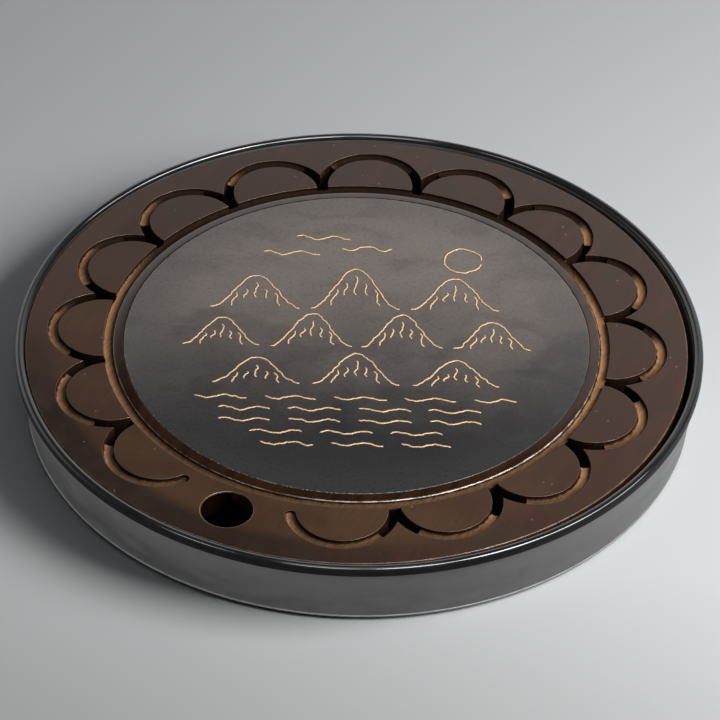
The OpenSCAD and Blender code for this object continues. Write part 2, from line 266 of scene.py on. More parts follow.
def noise_(nt, v, scale, detail=3.0, rough=0.5, distortion=0.0, colour=False):
    n = nt.nodes.new("ShaderNodeTexNoise")
    put(nt, n.inputs["Vector"], v)
    n.inputs["Scale"].default_value = scale
    n.inputs["Detail"].default_value = detail
    n.inputs["Roughness"].default_value = rough
    n.inputs["Distortion"].default_value = distortion
    return n.outputs[1 if colour else 0]


def voronoi(nt, v, scale, feature="F1", out=0, randomness=1.0):
    n = nt.nodes.new("ShaderNodeTexVoronoi")
    n.feature = feature
    put(nt, n.inputs["Vector"], v)
    n.inputs["Scale"].default_value = scale
    n.inputs["Randomness"].default_value = randomness
    return n.outputs[out]


def object_mm(nt, dx=0.0, dy=0.0):
    """Object coordinates in millimetres, from the point dx, dy."""
    t = nt.nodes.new("ShaderNodeTexCoord")
    return mapping(nt, t.outputs["Object"], loc=(-dx, -dy, 0), scale=(1000, 1000, 1000))


def xyz(nt, v):
    n = nt.nodes.new("ShaderNodeSeparateXYZ")
    put(nt, n.inputs[0], v)
    return n.outputs[0], n.outputs[1], n.outputs[2]


def combine(nt, x, y, z):
    n = nt.nodes.new("ShaderNodeCombineXYZ")
    for i, v in enumerate((x, y, z)):
        put(nt, n.inputs[i], v)
    return n.outputs[0]


def bump(nt, b, height, strength, distance_mm):
    n = nt.nodes.new("ShaderNodeBump")
    n.inputs["Strength"].default_value = strength
    n.inputs["Distance"].default_value = distance_mm * MM
    put(nt, n.inputs["Height"], height)
    nt.links.new(n.outputs["Normal"], b.inputs["Normal"])


def flat_radius(nt, p):
    x, y, z = xyz(nt, p)
    return vec(nt, "LENGTH", combine(nt, x, y, 0.0)), x, y, z


# ---------------------------------------------------------------- materials
def wood_material(kind):
    """kind: flat for the plate, groove for the cut grooves, which hardly shine."""
    m, nt, b = material("stained_wood" if kind == "flat" else "grooved_wood")
    p = object_mm(nt, CX, CY)
    r, x, y, z = flat_radius(nt, p)
    g = mapping(nt, p, rot=(0, 0, -64))                      # x along the grain, y across it
    wob = noise_(nt, mapping(nt, g, scale=(0.010, 0.02, 0.02)), 1.0, 2.0)
    gw = vec(nt, "ADD", g, combine(nt, 0.0, math_(nt, "MULTIPLY", wob, 14.0), 0.0))
    broad = noise_(nt, mapping(nt, gw, scale=(0.006, 0.16, 0.05)), 1.0, 3.0, 0.55)
    fine = noise_(nt, mapping(nt, gw, scale=(0.022, 1.5, 0.5)), 1.0, 4.0, 0.6)
    hair = noise_(nt, mapping(nt, gw, scale=(0.05, 4.2, 1.0)), 1.0, 2.0, 0.5)
    blotch = noise_(nt, p, 0.028, 3.0, 0.55, 0.4)
    cloud = noise_(nt, mapping(nt, p, loc=(31, 7, 0)), 0.075, 3.0, 0.6)
    # stain
    c = mix(nt, ramp(nt, broad, 0.30, 0.72), (0.0380, 0.0135, 0.0066), (0.0540, 0.0200, 0.0102))
    c = mix(nt, ramp(nt, blotch, 0.44, 0.56, 0.0, 0.85), c, (0.0380, 0.0180, 0.0078))
    c = mix(nt, ramp(nt, cloud, 0.54, 0.66, 0.0, 0.6), c, (0.0510, 0.0145, 0.0110))
    # painted shade and sheen: the near left is painted a yellower brown, the outer flats on the left warmer and those
    # on the near left darker, where the grey sheen is weaker
    near_left = math_(nt, "MULTIPLY", ramp(nt, math_(nt, "ADD", math_(nt, "MULTIPLY", x, 0.75), y), 30.0, -110.0), ramp(nt, r, PR - 6.0, PR - 20.0))
    c = mix(nt, math_(nt, "MULTIPLY", near_left, ramp(nt, blotch, 0.36, 0.60, 0.45, 1.0)), c, (0.0690, 0.0300, 0.0088))
    c = mix(nt, math_(nt, "MULTIPLY", ramp(nt, x, -60.0, -150.0, 0.0, 0.8), ramp(nt, r, PETAL_R + 18.0, PETAL_R + 26.0)), c, (0.0700, 0.0300, 0.0170))
    near = math_(nt, "MULTIPLY", ramp(nt, math_(nt, "ADD", math_(nt, "MULTIPLY", x, 0.9), y), -110.0, -180.0), ramp(nt, r, PETAL_R + 18.0, PETAL_R + 26.0))
    c = mix(nt, math_(nt, "MULTIPLY", near, ramp(nt, cloud, 0.36, 0.60, 0.70, 1.0)), c, (0.0170, 0.0052, 0.0012))
    mark_weight = math_(nt, "ADD", 0.22, math_(nt, "MULTIPLY", near_left, 0.50))
    c = mix(nt, math_(nt, "MULTIPLY", ramp(nt, fine, 0.54, 0.72, 0.0, 0.60), mark_weight), c, (0.0120, 0.0050, 0.0035))
    c = mix(nt, math_(nt, "MULTIPLY", ramp(nt, hair, 0.60, 0.72, 0.0, 0.50), mark_weight), c, (0.150, 0.105, 0.085))
    # pores along the grain
    pore = voronoi(nt, mapping(nt, gw, scale=(0.20, 2.6, 1.0)), 1.0)
    pore_m = math_(nt, "MULTIPLY", ramp(nt, pore, 0.20, 0.06), ramp(nt, noise_(nt, p, 0.06, 2.0), 0.45, 0.6))
    c = mix(nt, math_(nt, "MULTIPLY", math_(nt, "MULTIPLY", pore_m, mark_weight), 0.7), c, (0.010, 0.004, 0.003))
    # a few pale nicks
    nick = voronoi(nt, mapping(nt, p, loc=(5, 3, 0), scale=(1, 1, 0.2)), 0.105)
    nick_m = ramp(nt, nick, 0.062, 0.040)
    c = mix(nt, math_(nt, "MULTIPLY", nick_m, 0.40), c, (0.34, 0.26, 0.20))
    # glossy land round the slate
    land = math_(nt, "MULTIPLY", ramp(nt, r, LAND_R + 0.35, LAND_R + 0.05), ramp(nt, z, TOP - 1.25, TOP - 1.05))
    c = mix(nt, land, c, mix(nt, ramp(nt, broad, 0.35, 0.65), (0.0200, 0.0066, 0.0024), (0.0380, 0.0150, 0.0056)))
    # pale line along the land's outer edge: painted highlight
    land_edge_highlight = math_(nt, "MULTIPLY", ramp(nt, math_(nt, "ABSOLUTE", math_(nt, "SUBTRACT", r, LAND_R - 0.42)), 0.30, 0.10), ramp(nt, z, TOP - 1.25, TOP - 1.05))
    land_edge_highlight = math_(nt, "MULTIPLY", land_edge_highlight, ramp(nt, noise_(nt, p, 0.30, 3.0, 0.7), 0.40, 0.60, 0.05, 0.65))
    c = mix(nt, land_edge_highlight, c, (0.300, 0.220, 0.170))
    # white dashes on the land's outer edge, on the near right only: painted highlight
    land_glint_dash = ramp(nt, noise_(nt, mapping(nt, p, loc=(7, 2, 0)), 0.22, 3.0, 0.7), 0.44, 0.54, 0.15, 1.0)
    land_glint_dash = math_(nt, "MULTIPLY", math_(nt, "MULTIPLY", land_glint_dash, ramp(nt, math_(nt, "ABSOLUTE", math_(nt, "SUBTRACT", r, LAND_R - 0.50)), 0.34, 0.18)), ramp(nt, z, TOP - 1.15, TOP - 0.95))
    land_glint_dash = math_(nt, "MULTIPLY", land_glint_dash, ramp(nt, math_(nt, "SUBTRACT", math_(nt, "MULTIPLY", x, 0.55), y), 84.0, 124.0, 0.0, 0.75))
    c = mix(nt, land_glint_dash, c, (0.700, 0.670, 0.630))
    # eased edges and the plate's outer edge painted a little paler: partly rubbed wear, partly painted highlight
    rub_and_glint = math_(nt, "MULTIPLY", ramp(nt, z, TOP - 0.005, TOP - 0.03), ramp(nt, z, TOP - 0.24, TOP - 0.16))
    rub_and_glint = math_(nt, "MULTIPLY", rub_and_glint, ramp(nt, r, LAND_R + 1.0, LAND_R + 2.0))
    fa = math.radians(PATTERN + FINGER_K * SEG)
    fr = vec(nt, "LENGTH", vec(nt, "MULTIPLY", vec(nt, "SUBTRACT", p, (FINGER_R * math.cos(fa), FINGER_R * math.sin(fa), 0)), (1, 1, 0)))
    hole = math_(nt, "MULTIPLY", ramp(nt, fr, FINGER_D / 2 + 0.35, FINGER_D / 2 + 0.15), ramp(nt, z, TOP - 0.35, TOP - 0.8))
    # inside the finger hole: the wall painted nearly black, painted shade, with a painted lit patch towards the upper
    # right
    hx = math_(nt, "SUBTRACT", x, FINGER_R * math.cos(fa))
    hy = math_(nt, "SUBTRACT", y, FINGER_R * math.sin(fa))
    lit = math_(nt, "DIVIDE", math_(nt, "ADD", math_(nt, "MULTIPLY", hx, 0.88), math_(nt, "MULTIPLY", hy, 0.48)), FINGER_D / 2)
    lit = math_(nt, "MULTIPLY", ramp(nt, lit, 0.55, 0.92), ramp(nt, math_(nt, "ADD", z, math_(nt, "MULTIPLY", broad, 2.0)), TOP - 8.0, TOP - 3.5))
    c = mix(nt, hole, c, mix(nt, lit, (0.0065, 0.0028, 0.0014), (0.3000, 0.1350, 0.0600)))
    rim_rub_and_glint = math_(nt, "MULTIPLY", ramp(nt, r, PR - 0.62, PR - 0.40), ramp(nt, z, TOP - 0.75, TOP - 0.45))
    patchy = ramp(nt, noise_(nt, p, 0.16, 3.0, 0.6), 0.38, 0.58, 0.15, 0.60)
    c = mix(nt, math_(nt, "MULTIPLY", math_(nt, "MAXIMUM", rub_and_glint, rim_rub_and_glint), patchy), c, (0.200, 0.130, 0.095))
    # where the point lies in the groove of its own petal
    axis = math_(nt, "ADD", math_(nt, "MULTIPLY", math_(nt, "ROUND", math_(nt, "DIVIDE", math_(nt, "SUBTRACT", math_(nt, "ARCTAN2", y, x), math.radians(PATTERN)), math.radians(SEG))), math.radians(SEG)), math.radians(PATTERN))
    lx = math_(nt, "SUBTRACT", x, math_(nt, "MULTIPLY", math_(nt, "COSINE", axis), PETAL_R))
    ly = math_(nt, "SUBTRACT", y, math_(nt, "MULTIPLY", math_(nt, "SINE", axis), PETAL_R))
    lr = vec(nt, "LENGTH", combine(nt, lx, ly, 0.0))
    in_ring = ramp(nt, r, RING_R + 0.5, RING_R + 0.1)
    turned = blend_(nt, in_ring, math_(nt, "DIVIDE", ly, lr), math_(nt, "DIVIDE", y, r))
    off = blend_(nt, in_ring, math_(nt, "SUBTRACT", lr, (GRI + GRO) / 2), math_(nt, "SUBTRACT", r, (LAND_R + RING_R) / 2))
    # bare wood along the middle of the groove floors, where the cutter went last; the groove walls and corners are
    # painted near-black, painted shade
    tone = noise_(nt, mapping(nt, gw, scale=(0.05, 1.1, 0.8)), 1.0, 4.0, 0.65)
    raw = mix(nt, ramp(nt, tone, 0.35, 0.68), (0.225, 0.112, 0.050), (0.350, 0.182, 0.090))
    spot = noise_(nt, mapping(nt, p, loc=(0, 0, 9)), 0.9, 3.0, 0.6)
    raw = mix(nt, ramp(nt, spot, 0.55, 0.75, 0.0, 0.45), raw, (0.120, 0.055, 0.025))
    film = noise_(nt, mapping(nt, p, loc=(4, 4, 2)), 0.30, 4.0, 0.65)
    raw = mix(nt, ramp(nt, film, 0.52, 0.64, 0.0, 0.55), raw, (0.160, 0.100, 0.072))
    edge = noise_(nt, p, 0.55, 3.0, 0.6)
    start = math_(nt, "ADD", z, math_(nt, "MULTIPLY", math_(nt, "SUBTRACT", edge, 0.5), 0.12))
    bare = ramp(nt, start, TOP - 0.18, TOP - 0.30)
    bare = math_(nt, "MULTIPLY", bare, ramp(nt, r, LAND_R - 0.4, LAND_R + 0.1))
    bare = math_(nt, "MULTIPLY", bare, ramp(nt, r, PR - 6.0, PR - 6.5))
    bare = math_(nt, "MULTIPLY", bare, ramp(nt, z, LOW + 0.2, LOW + 0.6))
    bare = math_(nt, "MULTIPLY", bare, ramp(nt, fr, FINGER_D / 2 + 0.6, FINGER_D / 2 + 1.1))
    ragged = math_(nt, "ADD", math_(nt, "ABSOLUTE", off), math_(nt, "MULTIPLY", math_(nt, "SUBTRACT", film, 0.5), 2.2))
    middle = math_(nt, "MULTIPLY", ramp(nt, ragged, 2.30, 1.60), ramp(nt, z, TOP - GH + 1.15, TOP - GH + 0.75))
    middle = math_(nt, "MULTIPLY", middle, ramp(nt, z, TOP - GH - 0.2, TOP - GH - 0.12))
    # painted shade: the groove floors on the back side of each petal and of the ring stay dark, and those on the near
    # side are dimmed
    westward = blend_(nt, in_ring, ramp(nt, math_(nt, "DIVIDE", lx, lr), 0.2, -0.4), 0.0)
    reach = math_(nt, "SUBTRACT", turned, math_(nt, "MULTIPLY", westward, 0.17))
    far_side_shade = ramp(nt, math_(nt, "ADD", reach, math_(nt, "MULTIPLY", math_(nt, "SUBTRACT", spot, 0.5), 0.3)), 0.22, 0.62)
    near_side_shade = ramp(nt, math_(nt, "ADD", math_(nt, "MULTIPLY", turned, -1.0), math_(nt, "MULTIPLY", math_(nt, "SUBTRACT", film, 0.5), 0.5)), 0.15, 0.75, 0.0, 0.62)
    middle = math_(nt, "MULTIPLY", middle, math_(nt, "MULTIPLY", math_(nt, "SUBTRACT", 1.0, far_side_shade), math_(nt, "SUBTRACT", 1.0, near_side_shade)))
    # outside that middle band the cut wood is painted near-black: painted shade
    raw = mix(nt, middle, mix(nt, ramp(nt, tone, 0.35, 0.68), (0.0100, 0.0035, 0.0014), (0.0230, 0.0085, 0.0034)), raw)
    c = mix(nt, bare, c, raw)
    put(nt, b.inputs["Base Color"], c)
    rough = ramp(nt, blotch, 0.3, 0.7, 0.15, 0.20)
    rough = math_(nt, "ADD", rough, math_(nt, "MULTIPLY", ramp(nt, fine, 0.5, 0.75, 0.0, 0.08), mark_weight))
    nl = nt.nodes.new("ShaderNodeMix")
    nl.data_type = "FLOAT"
    put(nt, nl.inputs[0], land)
    put(nt, nl.inputs[2], rough)
    nl.inputs[3].default_value = 0.10
    nb = nt.nodes.new("ShaderNodeMix")
    nb.data_type = "FLOAT"
    put(nt, nb.inputs[0], bare)
    put(nt, nb.inputs[2], nl.outputs[0])
    nb.inputs[3].default_value = 0.78
    put(nt, b.inputs["Roughness"], nb.outputs[0])
    b.inputs["IOR"].default_value = 1.5
    b.inputs["Specular IOR Level"].default_value = 0.06 if kind == "groove" else 0.36
    h = math_(nt, "ADD", math_(nt, "MULTIPLY", fine, 0.5), math_(nt, "MULTIPLY", hair, 0.35))
    h = math_(nt, "SUBTRACT", h, math_(nt, "MULTIPLY", pore_m, 0.4))
    h = math_(nt, "MULTIPLY", math_(nt, "MULTIPLY", h, mark_weight), math_(nt, "SUBTRACT", 1.0, math_(nt, "MULTIPLY", land, 0.85)))
    h = math_(nt, "ADD", h, math_(nt, "MULTIPLY", math_(nt, "MULTIPLY", spot, bare), 1.6))
    bump(nt, b, h, 0.35, 0.10)
    return m


def slate_material():
    m, nt, b = material("ink_slate")
    p = object_mm(nt, CX, CY)
    r, x, y, z = flat_radius(nt, p)
    flat = vec(nt, "MULTIPLY", p, (1, 1, 0))
    warp = noise_(nt, flat, 0.030, 4.0, 0.6, colour=True)
    warp2 = noise_(nt, mapping(nt, flat, loc=(9, 4, 0)), 0.11, 3.0, 0.6, colour=True)
    q = vec(nt, "ADD", flat, vec(nt, "SCALE", vec(nt, "SUBTRACT", warp, (0.5, 0.5, 0.5)), scale=46.0))
    q = vec(nt, "ADD", q, vec(nt, "SCALE", vec(nt, "SUBTRACT", warp2, (0.5, 0.5, 0.5)), scale=11.0))
    q = vec(nt, "MULTIPLY", q, (1, 1, 0))

    # a plain ink wash: dark at the foot, paler towards the top, broken up by soft clouds
    cloud = noise_(nt, q, 0.022, 4.0, 0.6)
    up = ramp(nt, math_(nt, "ADD", y, math_(nt, "MULTIPLY", math_(nt, "SUBTRACT", cloud, 0.5), 90.0)), -80.0, 70.0)
    c = mix(nt, up, (0.012, 0.010, 0.011), (0.185, 0.158, 0.144))
    wisp = noise_(nt, mapping(nt, q, scale=(0.5, 1.6, 1)), 0.03, 4.0, 0.62)
    c = mix(nt, ramp(nt, wisp, 0.45, 0.65, 0.0, 0.5), c, mix(nt, 1.0, c, (0.45, 0.44, 0.48), "MULTIPLY"))
    # darker, cooler towards the rim of the slate
    c = mix(nt, ramp(nt, r, 78.0, 108.0, 0.0, 0.30), c, (0.040, 0.042, 0.046))
    # mineral grain
    grain = noise_(nt, flat, 1.15, 2.0, 0.8)
    c = mix(nt, ramp(nt, grain, 0.50, 0.78, 0.0, 0.30), c, mix(nt, 1.0, c, (1.60, 1.56, 1.50), "MULTIPLY"))
    c = mix(nt, ramp(nt, grain, 0.48, 0.26, 0.0, 0.14), c, mix(nt, 1.0, c, (0.66, 0.66, 0.67), "MULTIPLY"))
    mid = noise_(nt, flat, 0.55, 3.0, 0.7)
    c = mix(nt, 1.0, c, ramp3(nt, mid, 0.35, 0.65, 0.94, 1.06), "MULTIPLY")
    # pale chips along the edge, strongest on the near left: partly chipped stone, partly painted glints
    chip = noise_(nt, mapping(nt, p, scale=(1, 1, 2)), 0.8, 3.0, 0.7)
    edge_m = math_(nt, "MULTIPLY", ramp(nt, r, SR - 0.85, SR - 0.25), ramp(nt, chip, 0.48, 0.60))
    edge_m = math_(nt, "MULTIPLY", edge_m, ramp(nt, math_(nt, "ADD", x, math_(nt, "MULTIPLY", y, 0.6)), 20.0, -80.0, 0.12, 0.60))
    c = mix(nt, edge_m, c, (0.34, 0.33, 0.31))
    side = ramp(nt, z, TOP - 0.9, TOP - 1.3)
    c = mix(nt, side, c, (0.085, 0.085, 0.088))
    put(nt, b.inputs["Base Color"], c)
    put(nt, b.inputs["Roughness"], ramp(nt, mid, 0.3, 0.7, 0.26, 0.34))
    b.inputs["IOR"].default_value = 1.5
    b.inputs["Specular IOR Level"].default_value = 0.32
    h = math_(nt, "ADD", math_(nt, "MULTIPLY", grain, 0.5), math_(nt, "MULTIPLY", mid, 0.8))
    bump(nt, b, h, 0.035, 0.12)
    return m


def blend_(nt, fac, a, b):
    """A number that goes from a to b."""
    n = nt.nodes.new("ShaderNodeMix")
    n.data_type = "FLOAT"
    put(nt, n.inputs[0], fac)
    put(nt, n.inputs[2], a)
    put(nt, n.inputs[3], b)
    return n.outputs[0]


def ramp3(nt, v, lo, hi, a, b):
    """A grey colour that goes from a to b."""
    s = ramp(nt, v, lo, hi, a, b)
    return combine(nt, s, s, s)


def gold_material():
    m, nt, b = material("gold_paint")
    p = object_mm(nt, CX, CY)
    n1 = noise_(nt, p, 0.9, 3.0, 0.6)
    n2 = noise_(nt, mapping(nt, p, loc=(3, 8, 1)), 3.5, 2.0, 0.6)
    c = mix(nt, ramp(nt, n1, 0.36, 0.64), (0.760, 0.470, 0.235), (0.930, 0.640, 0.360))
    c = mix(nt, ramp(nt, n2, 0.60, 0.78, 0.0, 0.5), c, (0.480, 0.270, 0.120))
    put(nt, b.inputs["Base Color"], c)
    put(nt, b.inputs["Roughness"], ramp(nt, n2, 0.3, 0.7, 0.42, 0.58))
    b.inputs["Metallic"].default_value = 0.10
    bump(nt, b, math_(nt, "ADD", n1, math_(nt, "MULTIPLY", n2, 0.5)), 0.30, 0.06)
    return m


def groove_shade_material():
    # dark band under each gold line: painted shade of the engraved groove round the line
    m, nt, b = material("painted_groove_shade")
    p = object_mm(nt, CX, CY)
    n1 = noise_(nt, p, 1.8, 3.0, 0.6)
    put(nt, b.inputs["Base Color"], mix(nt, ramp(nt, n1, 0.35, 0.65), (0.016, 0.012, 0.010), (0.040, 0.030, 0.024)))
    put(nt, b.inputs["Roughness"], ramp(nt, n1, 0.3, 0.7, 0.55, 0.75))
    bump(nt, b, n1, 0.3, 0.05)
    return m


def plastic_material(kind):
    """kind: gloss on top of the rim, band on its outer side, satin on the wall and inside."""
    m, nt, b = material("basin_" + kind)
    p = object_mm(nt)
    r, x, y, z = flat_radius(nt, p)
    ang = math_(nt, "ARCTAN2", y, x)
    around = combine(nt, math_(nt, "MULTIPLY", ang, 9.0), math_(nt, "MULTIPLY", z, 0.16), math_(nt, "MULTIPLY", r, 0.02))
    smear = noise_(nt, around, 1.0, 4.0, 0.6, 0.3)
    # on the floor of the basin the streaks would meet in the middle: plain mottling there
    smear = blend_(nt, ramp(nt, r, RO - 9.0, RO - 13.0), smear, noise_(nt, p, 0.045, 4.0, 0.6, 0.2))
    fine = noise_(nt, p, 3.2, 2.0, 0.6)
    blot = noise_(nt, p, 0.05, 3.0, 0.6)
    if kind == "satin":
        c = mix(nt, ramp(nt, smear, 0.28, 0.72), (0.0700, 0.0710, 0.0700), (0.1020, 0.1020, 0.0990))
        c = mix(nt, ramp(nt, blot, 0.52, 0.70, 0.0, 0.40), c, (0.0520, 0.0520, 0.0520))
        # the upper wall painted lighter under the rim, painted light; the bottom edge painted pale, a painted highlight
        c = mix(nt, ramp(nt, z, 12.0, 28.0, 0.0, 0.45), c, (0.1300, 0.1310, 0.1290))
        mark_weight = math_(nt, "MULTIPLY", ramp(nt, z, 4.0, 2.6), ramp(nt, noise_(nt, around, 2.2, 3.0, 0.6), 0.32, 0.58, 0.35, 0.85))
        c = mix(nt, math_(nt, "MULTIPLY", mark_weight, ramp(nt, r, RO - 12.0, RO - 10.0)), c, (0.2100, 0.2080, 0.2040))
        inside = math_(nt, "MULTIPLY", ramp(nt, r, RO - 6.0, RO - 7.5), ramp(nt, z, 2.5, 3.2))
        c = mix(nt, inside, c, (0.0300, 0.0300, 0.0300))
        c = mix(nt, math_(nt, "MULTIPLY", inside, ramp(nt, blot, 0.5, 0.68, 0.0, 0.35)), c, (0.060, 0.042, 0.028))
        dust = ramp(nt, noise_(nt, p, 0.9, 3.0, 0.7), 0.62, 0.80, 0.0, 0.10)
        c = mix(nt, dust, c, (0.20, 0.20, 0.20))
        put(nt, b.inputs["Roughness"], math_(nt, "ADD", ramp(nt, smear, 0.3, 0.7, 0.34, 0.48), ramp(nt, fine, 0.3, 0.7, 0.0, 0.04)))
        b.inputs["IOR"].default_value = 1.55
    elif kind == "band":
        c = mix(nt, ramp(nt, smear, 0.3, 0.7), (0.0060, 0.0060, 0.0062), (0.0105, 0.0105, 0.0105))
        put(nt, b.inputs["Roughness"], ramp(nt, smear, 0.3, 0.7, 0.34, 0.44))
        b.inputs["Specular IOR Level"].default_value = 0.08
    else:
        c = mix(nt, ramp(nt, smear, 0.3, 0.7), (0.0080, 0.0080, 0.0084), (0.0130, 0.0130, 0.0134))
        put(nt, b.inputs["Roughness"], ramp(nt, blot, 0.3, 0.7, 0.07, 0.12))
    put(nt, b.inputs["Base Color"], c)
    h = math_(nt, "ADD", math_(nt, "MULTIPLY", fine, 0.6 if kind == "satin" else 0.1), math_(nt, "MULTIPLY", smear, 0.15))
    bump(nt, b, h, 0.20, 0.05)
    return m


def rubber_material():
    m, nt, b = material("foot_rubber")
    p = object_mm(nt)
    n1 = noise_(nt, p, 1.6, 4.0, 0.65)
    n2 = noise_(nt, p, 0.15, 2.0)
    c = mix(nt, ramp(nt, n1, 0.35, 0.7), (0.018, 0.018, 0.018), (0.042, 0.041, 0.039))
    c = mix(nt, ramp(nt, n2, 0.55, 0.7, 0.0, 0.3), c, (0.10, 0.095, 0.088))
    put(nt, b.inputs["Base Color"], c)
    put(nt, b.inputs["Roughness"], ramp(nt, n1, 0.3, 0.7, 0.62, 0.82))
    bump(nt, b, n1, 0.35, 0.08)
    return m


def silicone_material():
    m, nt, b = material("pad_silicone")
    p = object_mm(nt)
    n1 = noise_(nt, p, 0.8, 3.0, 0.6)
    c = mix(nt, ramp(nt, n1, 0.35, 0.7), (0.50, 0.50, 0.47), (0.62, 0.62, 0.60))
    put(nt, b.inputs["Base Color"], c)
    put(nt, b.inputs["Roughness"], ramp(nt, n1, 0.3, 0.7, 0.38, 0.52))
    b.inputs["Subsurface Weight"].default_value = 0.35
    b.inputs["Subsurface Scale"].default_value = 0.001
    bump(nt, b, n1, 0.2, 0.05)
    return m


def adhesive_material():
    m, nt, b = material("bed_adhesive")
    p = object_mm(nt)
    n1 = noise_(nt, p, 0.12, 4.0, 0.6)
    c = mix(nt, ramp(nt, n1, 0.35, 0.7), (0.28, 0.23, 0.16), (0.42, 0.36, 0.27))
    put(nt, b.inputs["Base Color"], c)
    put(nt, b.inputs["Roughness"], ramp(nt, n1, 0.3, 0.7, 0.5, 0.7))
    bump(nt, b, n1, 0.4, 0.2)
    return m


def floor_material():
    m, nt, b = material("studio_floor")
    t = nt.nodes.new("ShaderNodeTexCoord")
    x, y, z = xyz(nt, t.outputs["Object"])
    tone = noise_(nt, t.outputs["Object"], 1.4, 2.0, 0.5)
    c = mix(nt, ramp(nt, tone, 0.3, 0.7), (0.535, 0.560, 0.580), (0.560, 0.582, 0.590))
    soft = noise_(nt, t.outputs["Object"], 3.0, 3.0, 0.5)
    c = mix(nt, ramp(nt, soft, 0.35, 0.65, 0.0, 0.5), c, mix(nt, 1.0, c, (0.985, 0.985, 1.0), "MULTIPLY"))
    # darker towards the front: painted shade for the key light's falloff
    near = ramp(nt, y, -0.12, -0.33, 0.0, 1.0, smooth=False)
    c = mix(nt, near, c, mix(nt, 1.0, c, (0.58, 0.58, 0.58), "MULTIPLY"))
    put(nt, b.inputs["Base Color"], c)
    b.inputs["Roughness"].default_value = 0.75
    b.inputs["Specular IOR Level"].default_value = 0.25
    # not seen from below, so that the underside of the tray can be looked at
    clear = nt.nodes.new("ShaderNodeBsdfTransparent")
    side = nt.nodes.new("ShaderNodeNewGeometry")
    both = nt.nodes.new("ShaderNodeMixShader")
    nt.links.new(side.outputs["Backfacing"], both.inputs[0])
    nt.links.new(b.outputs["BSDF"], both.inputs[1])
    nt.links.new(clear.outputs[0], both.inputs[2])
    out = [n for n in nt.nodes if n.type == "OUTPUT_MATERIAL"][0]
    nt.links.new(both.outputs[0], out.inputs["Surface"])
    return m


# ---------------------------------------------------------------- basin
def build_basin():
    prof = [(0, BASE_Z), (60, BASE_Z), (RO - 7.4, BASE_Z)]
    prof += arc(RO - 7.0, BASE_Z + 2.2, 2.2, -80, -30, 8)
    # small bead along the bottom edge, which catches the light
    prof += arc(RO - 5.05, BASE_Z + 1.65, 0.50, -70, 78, 10)
    prof += [(RO - 4.86, BASE_Z + 2.35), (RO - 4.80, BASE_Z + 2.75)]
    # slightly bowed wall, so that it doesn't shade like a cone
    x0, z0 = prof[-1]
    x1, z1 = RO - 1.3, TOP - 3.1
    for i in range(1, 9):
        t = i / 9
        prof.append((x0 + (x1 - x0) * t + 0.10 * math.sin(math.pi * t), z0 + (z1 - z0) * t))
    prof += [(x1, z1), (RO - 1.22, TOP - 2.75), (RO - 1.05, TOP - 2.62), (RO - 0.62, TOP - 2.60)]
    prof += arc(RO - 0.5, TOP - 2.1, 0.5, -80, 0, 6)
    prof += arc(RO - 2.2, RIM_TOP - 2.2, 2.2, 0, 180, 44)
    prof += [(RO - 4.4, TOP - 1.4), (RO - 4.4, LOW - 0.5), (RO - 6.0, 13.7), (RO - 7.6, BASE_Z + 6.0)]
    prof += arc(RO - 10.6, BASE_Z + 6.0, 3.0, 0, -90, 12)
    prof += [(60, BASE_Z + 3.0), (0, BASE_Z + 3.0)]
    ob = mesh_object("basin_shell", *outward(lathe(prof, 480)))
    posts = []
    post_top = PD_LO.z / MM
    for k in range(8):
        post = lathe([(0, BASE_Z + 2.0), (5.0, BASE_Z + 2.0), (5.0, post_top - 0.35)] +
                     arc(4.65, post_top - 0.35, 0.35, 0, 90, 4) + [(0, post_top)], 48)
        posts.append(outward(move(post, 149.0, 0)))
        posts[-1] = move(posts[-1], turn=45 * k)
    boolean(ob, join(posts), "UNION")
    webs = []
    for k in range(8):
        z0, z1 = BASE_Z + 2.0, post_top - 3.0
        pts = [(149.5, -1.5), (154.2, -1.5), (154.2, 1.5), (149.5, 1.5)]
        webs.append(move(stack([(pts, z0), (pts, z1)]), turn=45 * k))
    boolean(ob, join(webs), "UNION")
    pockets = []
    fr = 135.0
    for k in range(4):
        c = lathe([(0, -1), (10.2, -1), (10.2, FT_HI.z / MM - 0.3), (9.9, FT_HI.z / MM), (0, FT_HI.z / MM)], 64)
        pockets.append(move(outward(c), fr, 0))
        pockets[-1] = move(pockets[-1], turn=45 + 90 * k)
    boolean(ob, join(pockets))
    crease(ob, 34)
    ob.data.materials.clear()
    for kind in ("satin", "gloss", "band"):
        ob.data.materials.append(plastic_material(kind))
    idx = []
    for f in ob.data.polygons:
        c = f.center / MM
        r = math.hypot(c.x, c.y)
        if c.z < TOP - 3.0 or r < RO - 4.5:
            idx.append(0)
        elif r > RO - 1.5 and c.z < TOP + 0.50:
            idx.append(2)
        else:
            idx.append(0 if r < RO - 4.2 and c.z < TOP - 0.3 else 1)
    ob.data.polygons.foreach_set("material_index", idx)
    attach(ob, "base")
    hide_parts("basin")
    return ob


def build_feet():
    h = FT_HI.z / MM
    foot = [(0, 0.16), (6.0, 0.16), (6.25, 0.0), (6.9, 0.0), (7.15, 0.16), (7.7, 0.16), (7.95, 0.0)]
    foot += arc(9.65, 0.35, 0.35, -90, 0, 5) + [(10.0, h), (0, h)]
    parts = []
    for k in range(4):
        p = move(outward(lathe(foot, 64)), 135.0, 0)
        parts.append(move(p, turn=45 + 90 * k))
    ob = mesh_object("rubber_feet", *join(parts))
    crease(ob, 40)
    ob.data.materials.append(rubber_material())
    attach(ob, "base")
    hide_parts("feet")


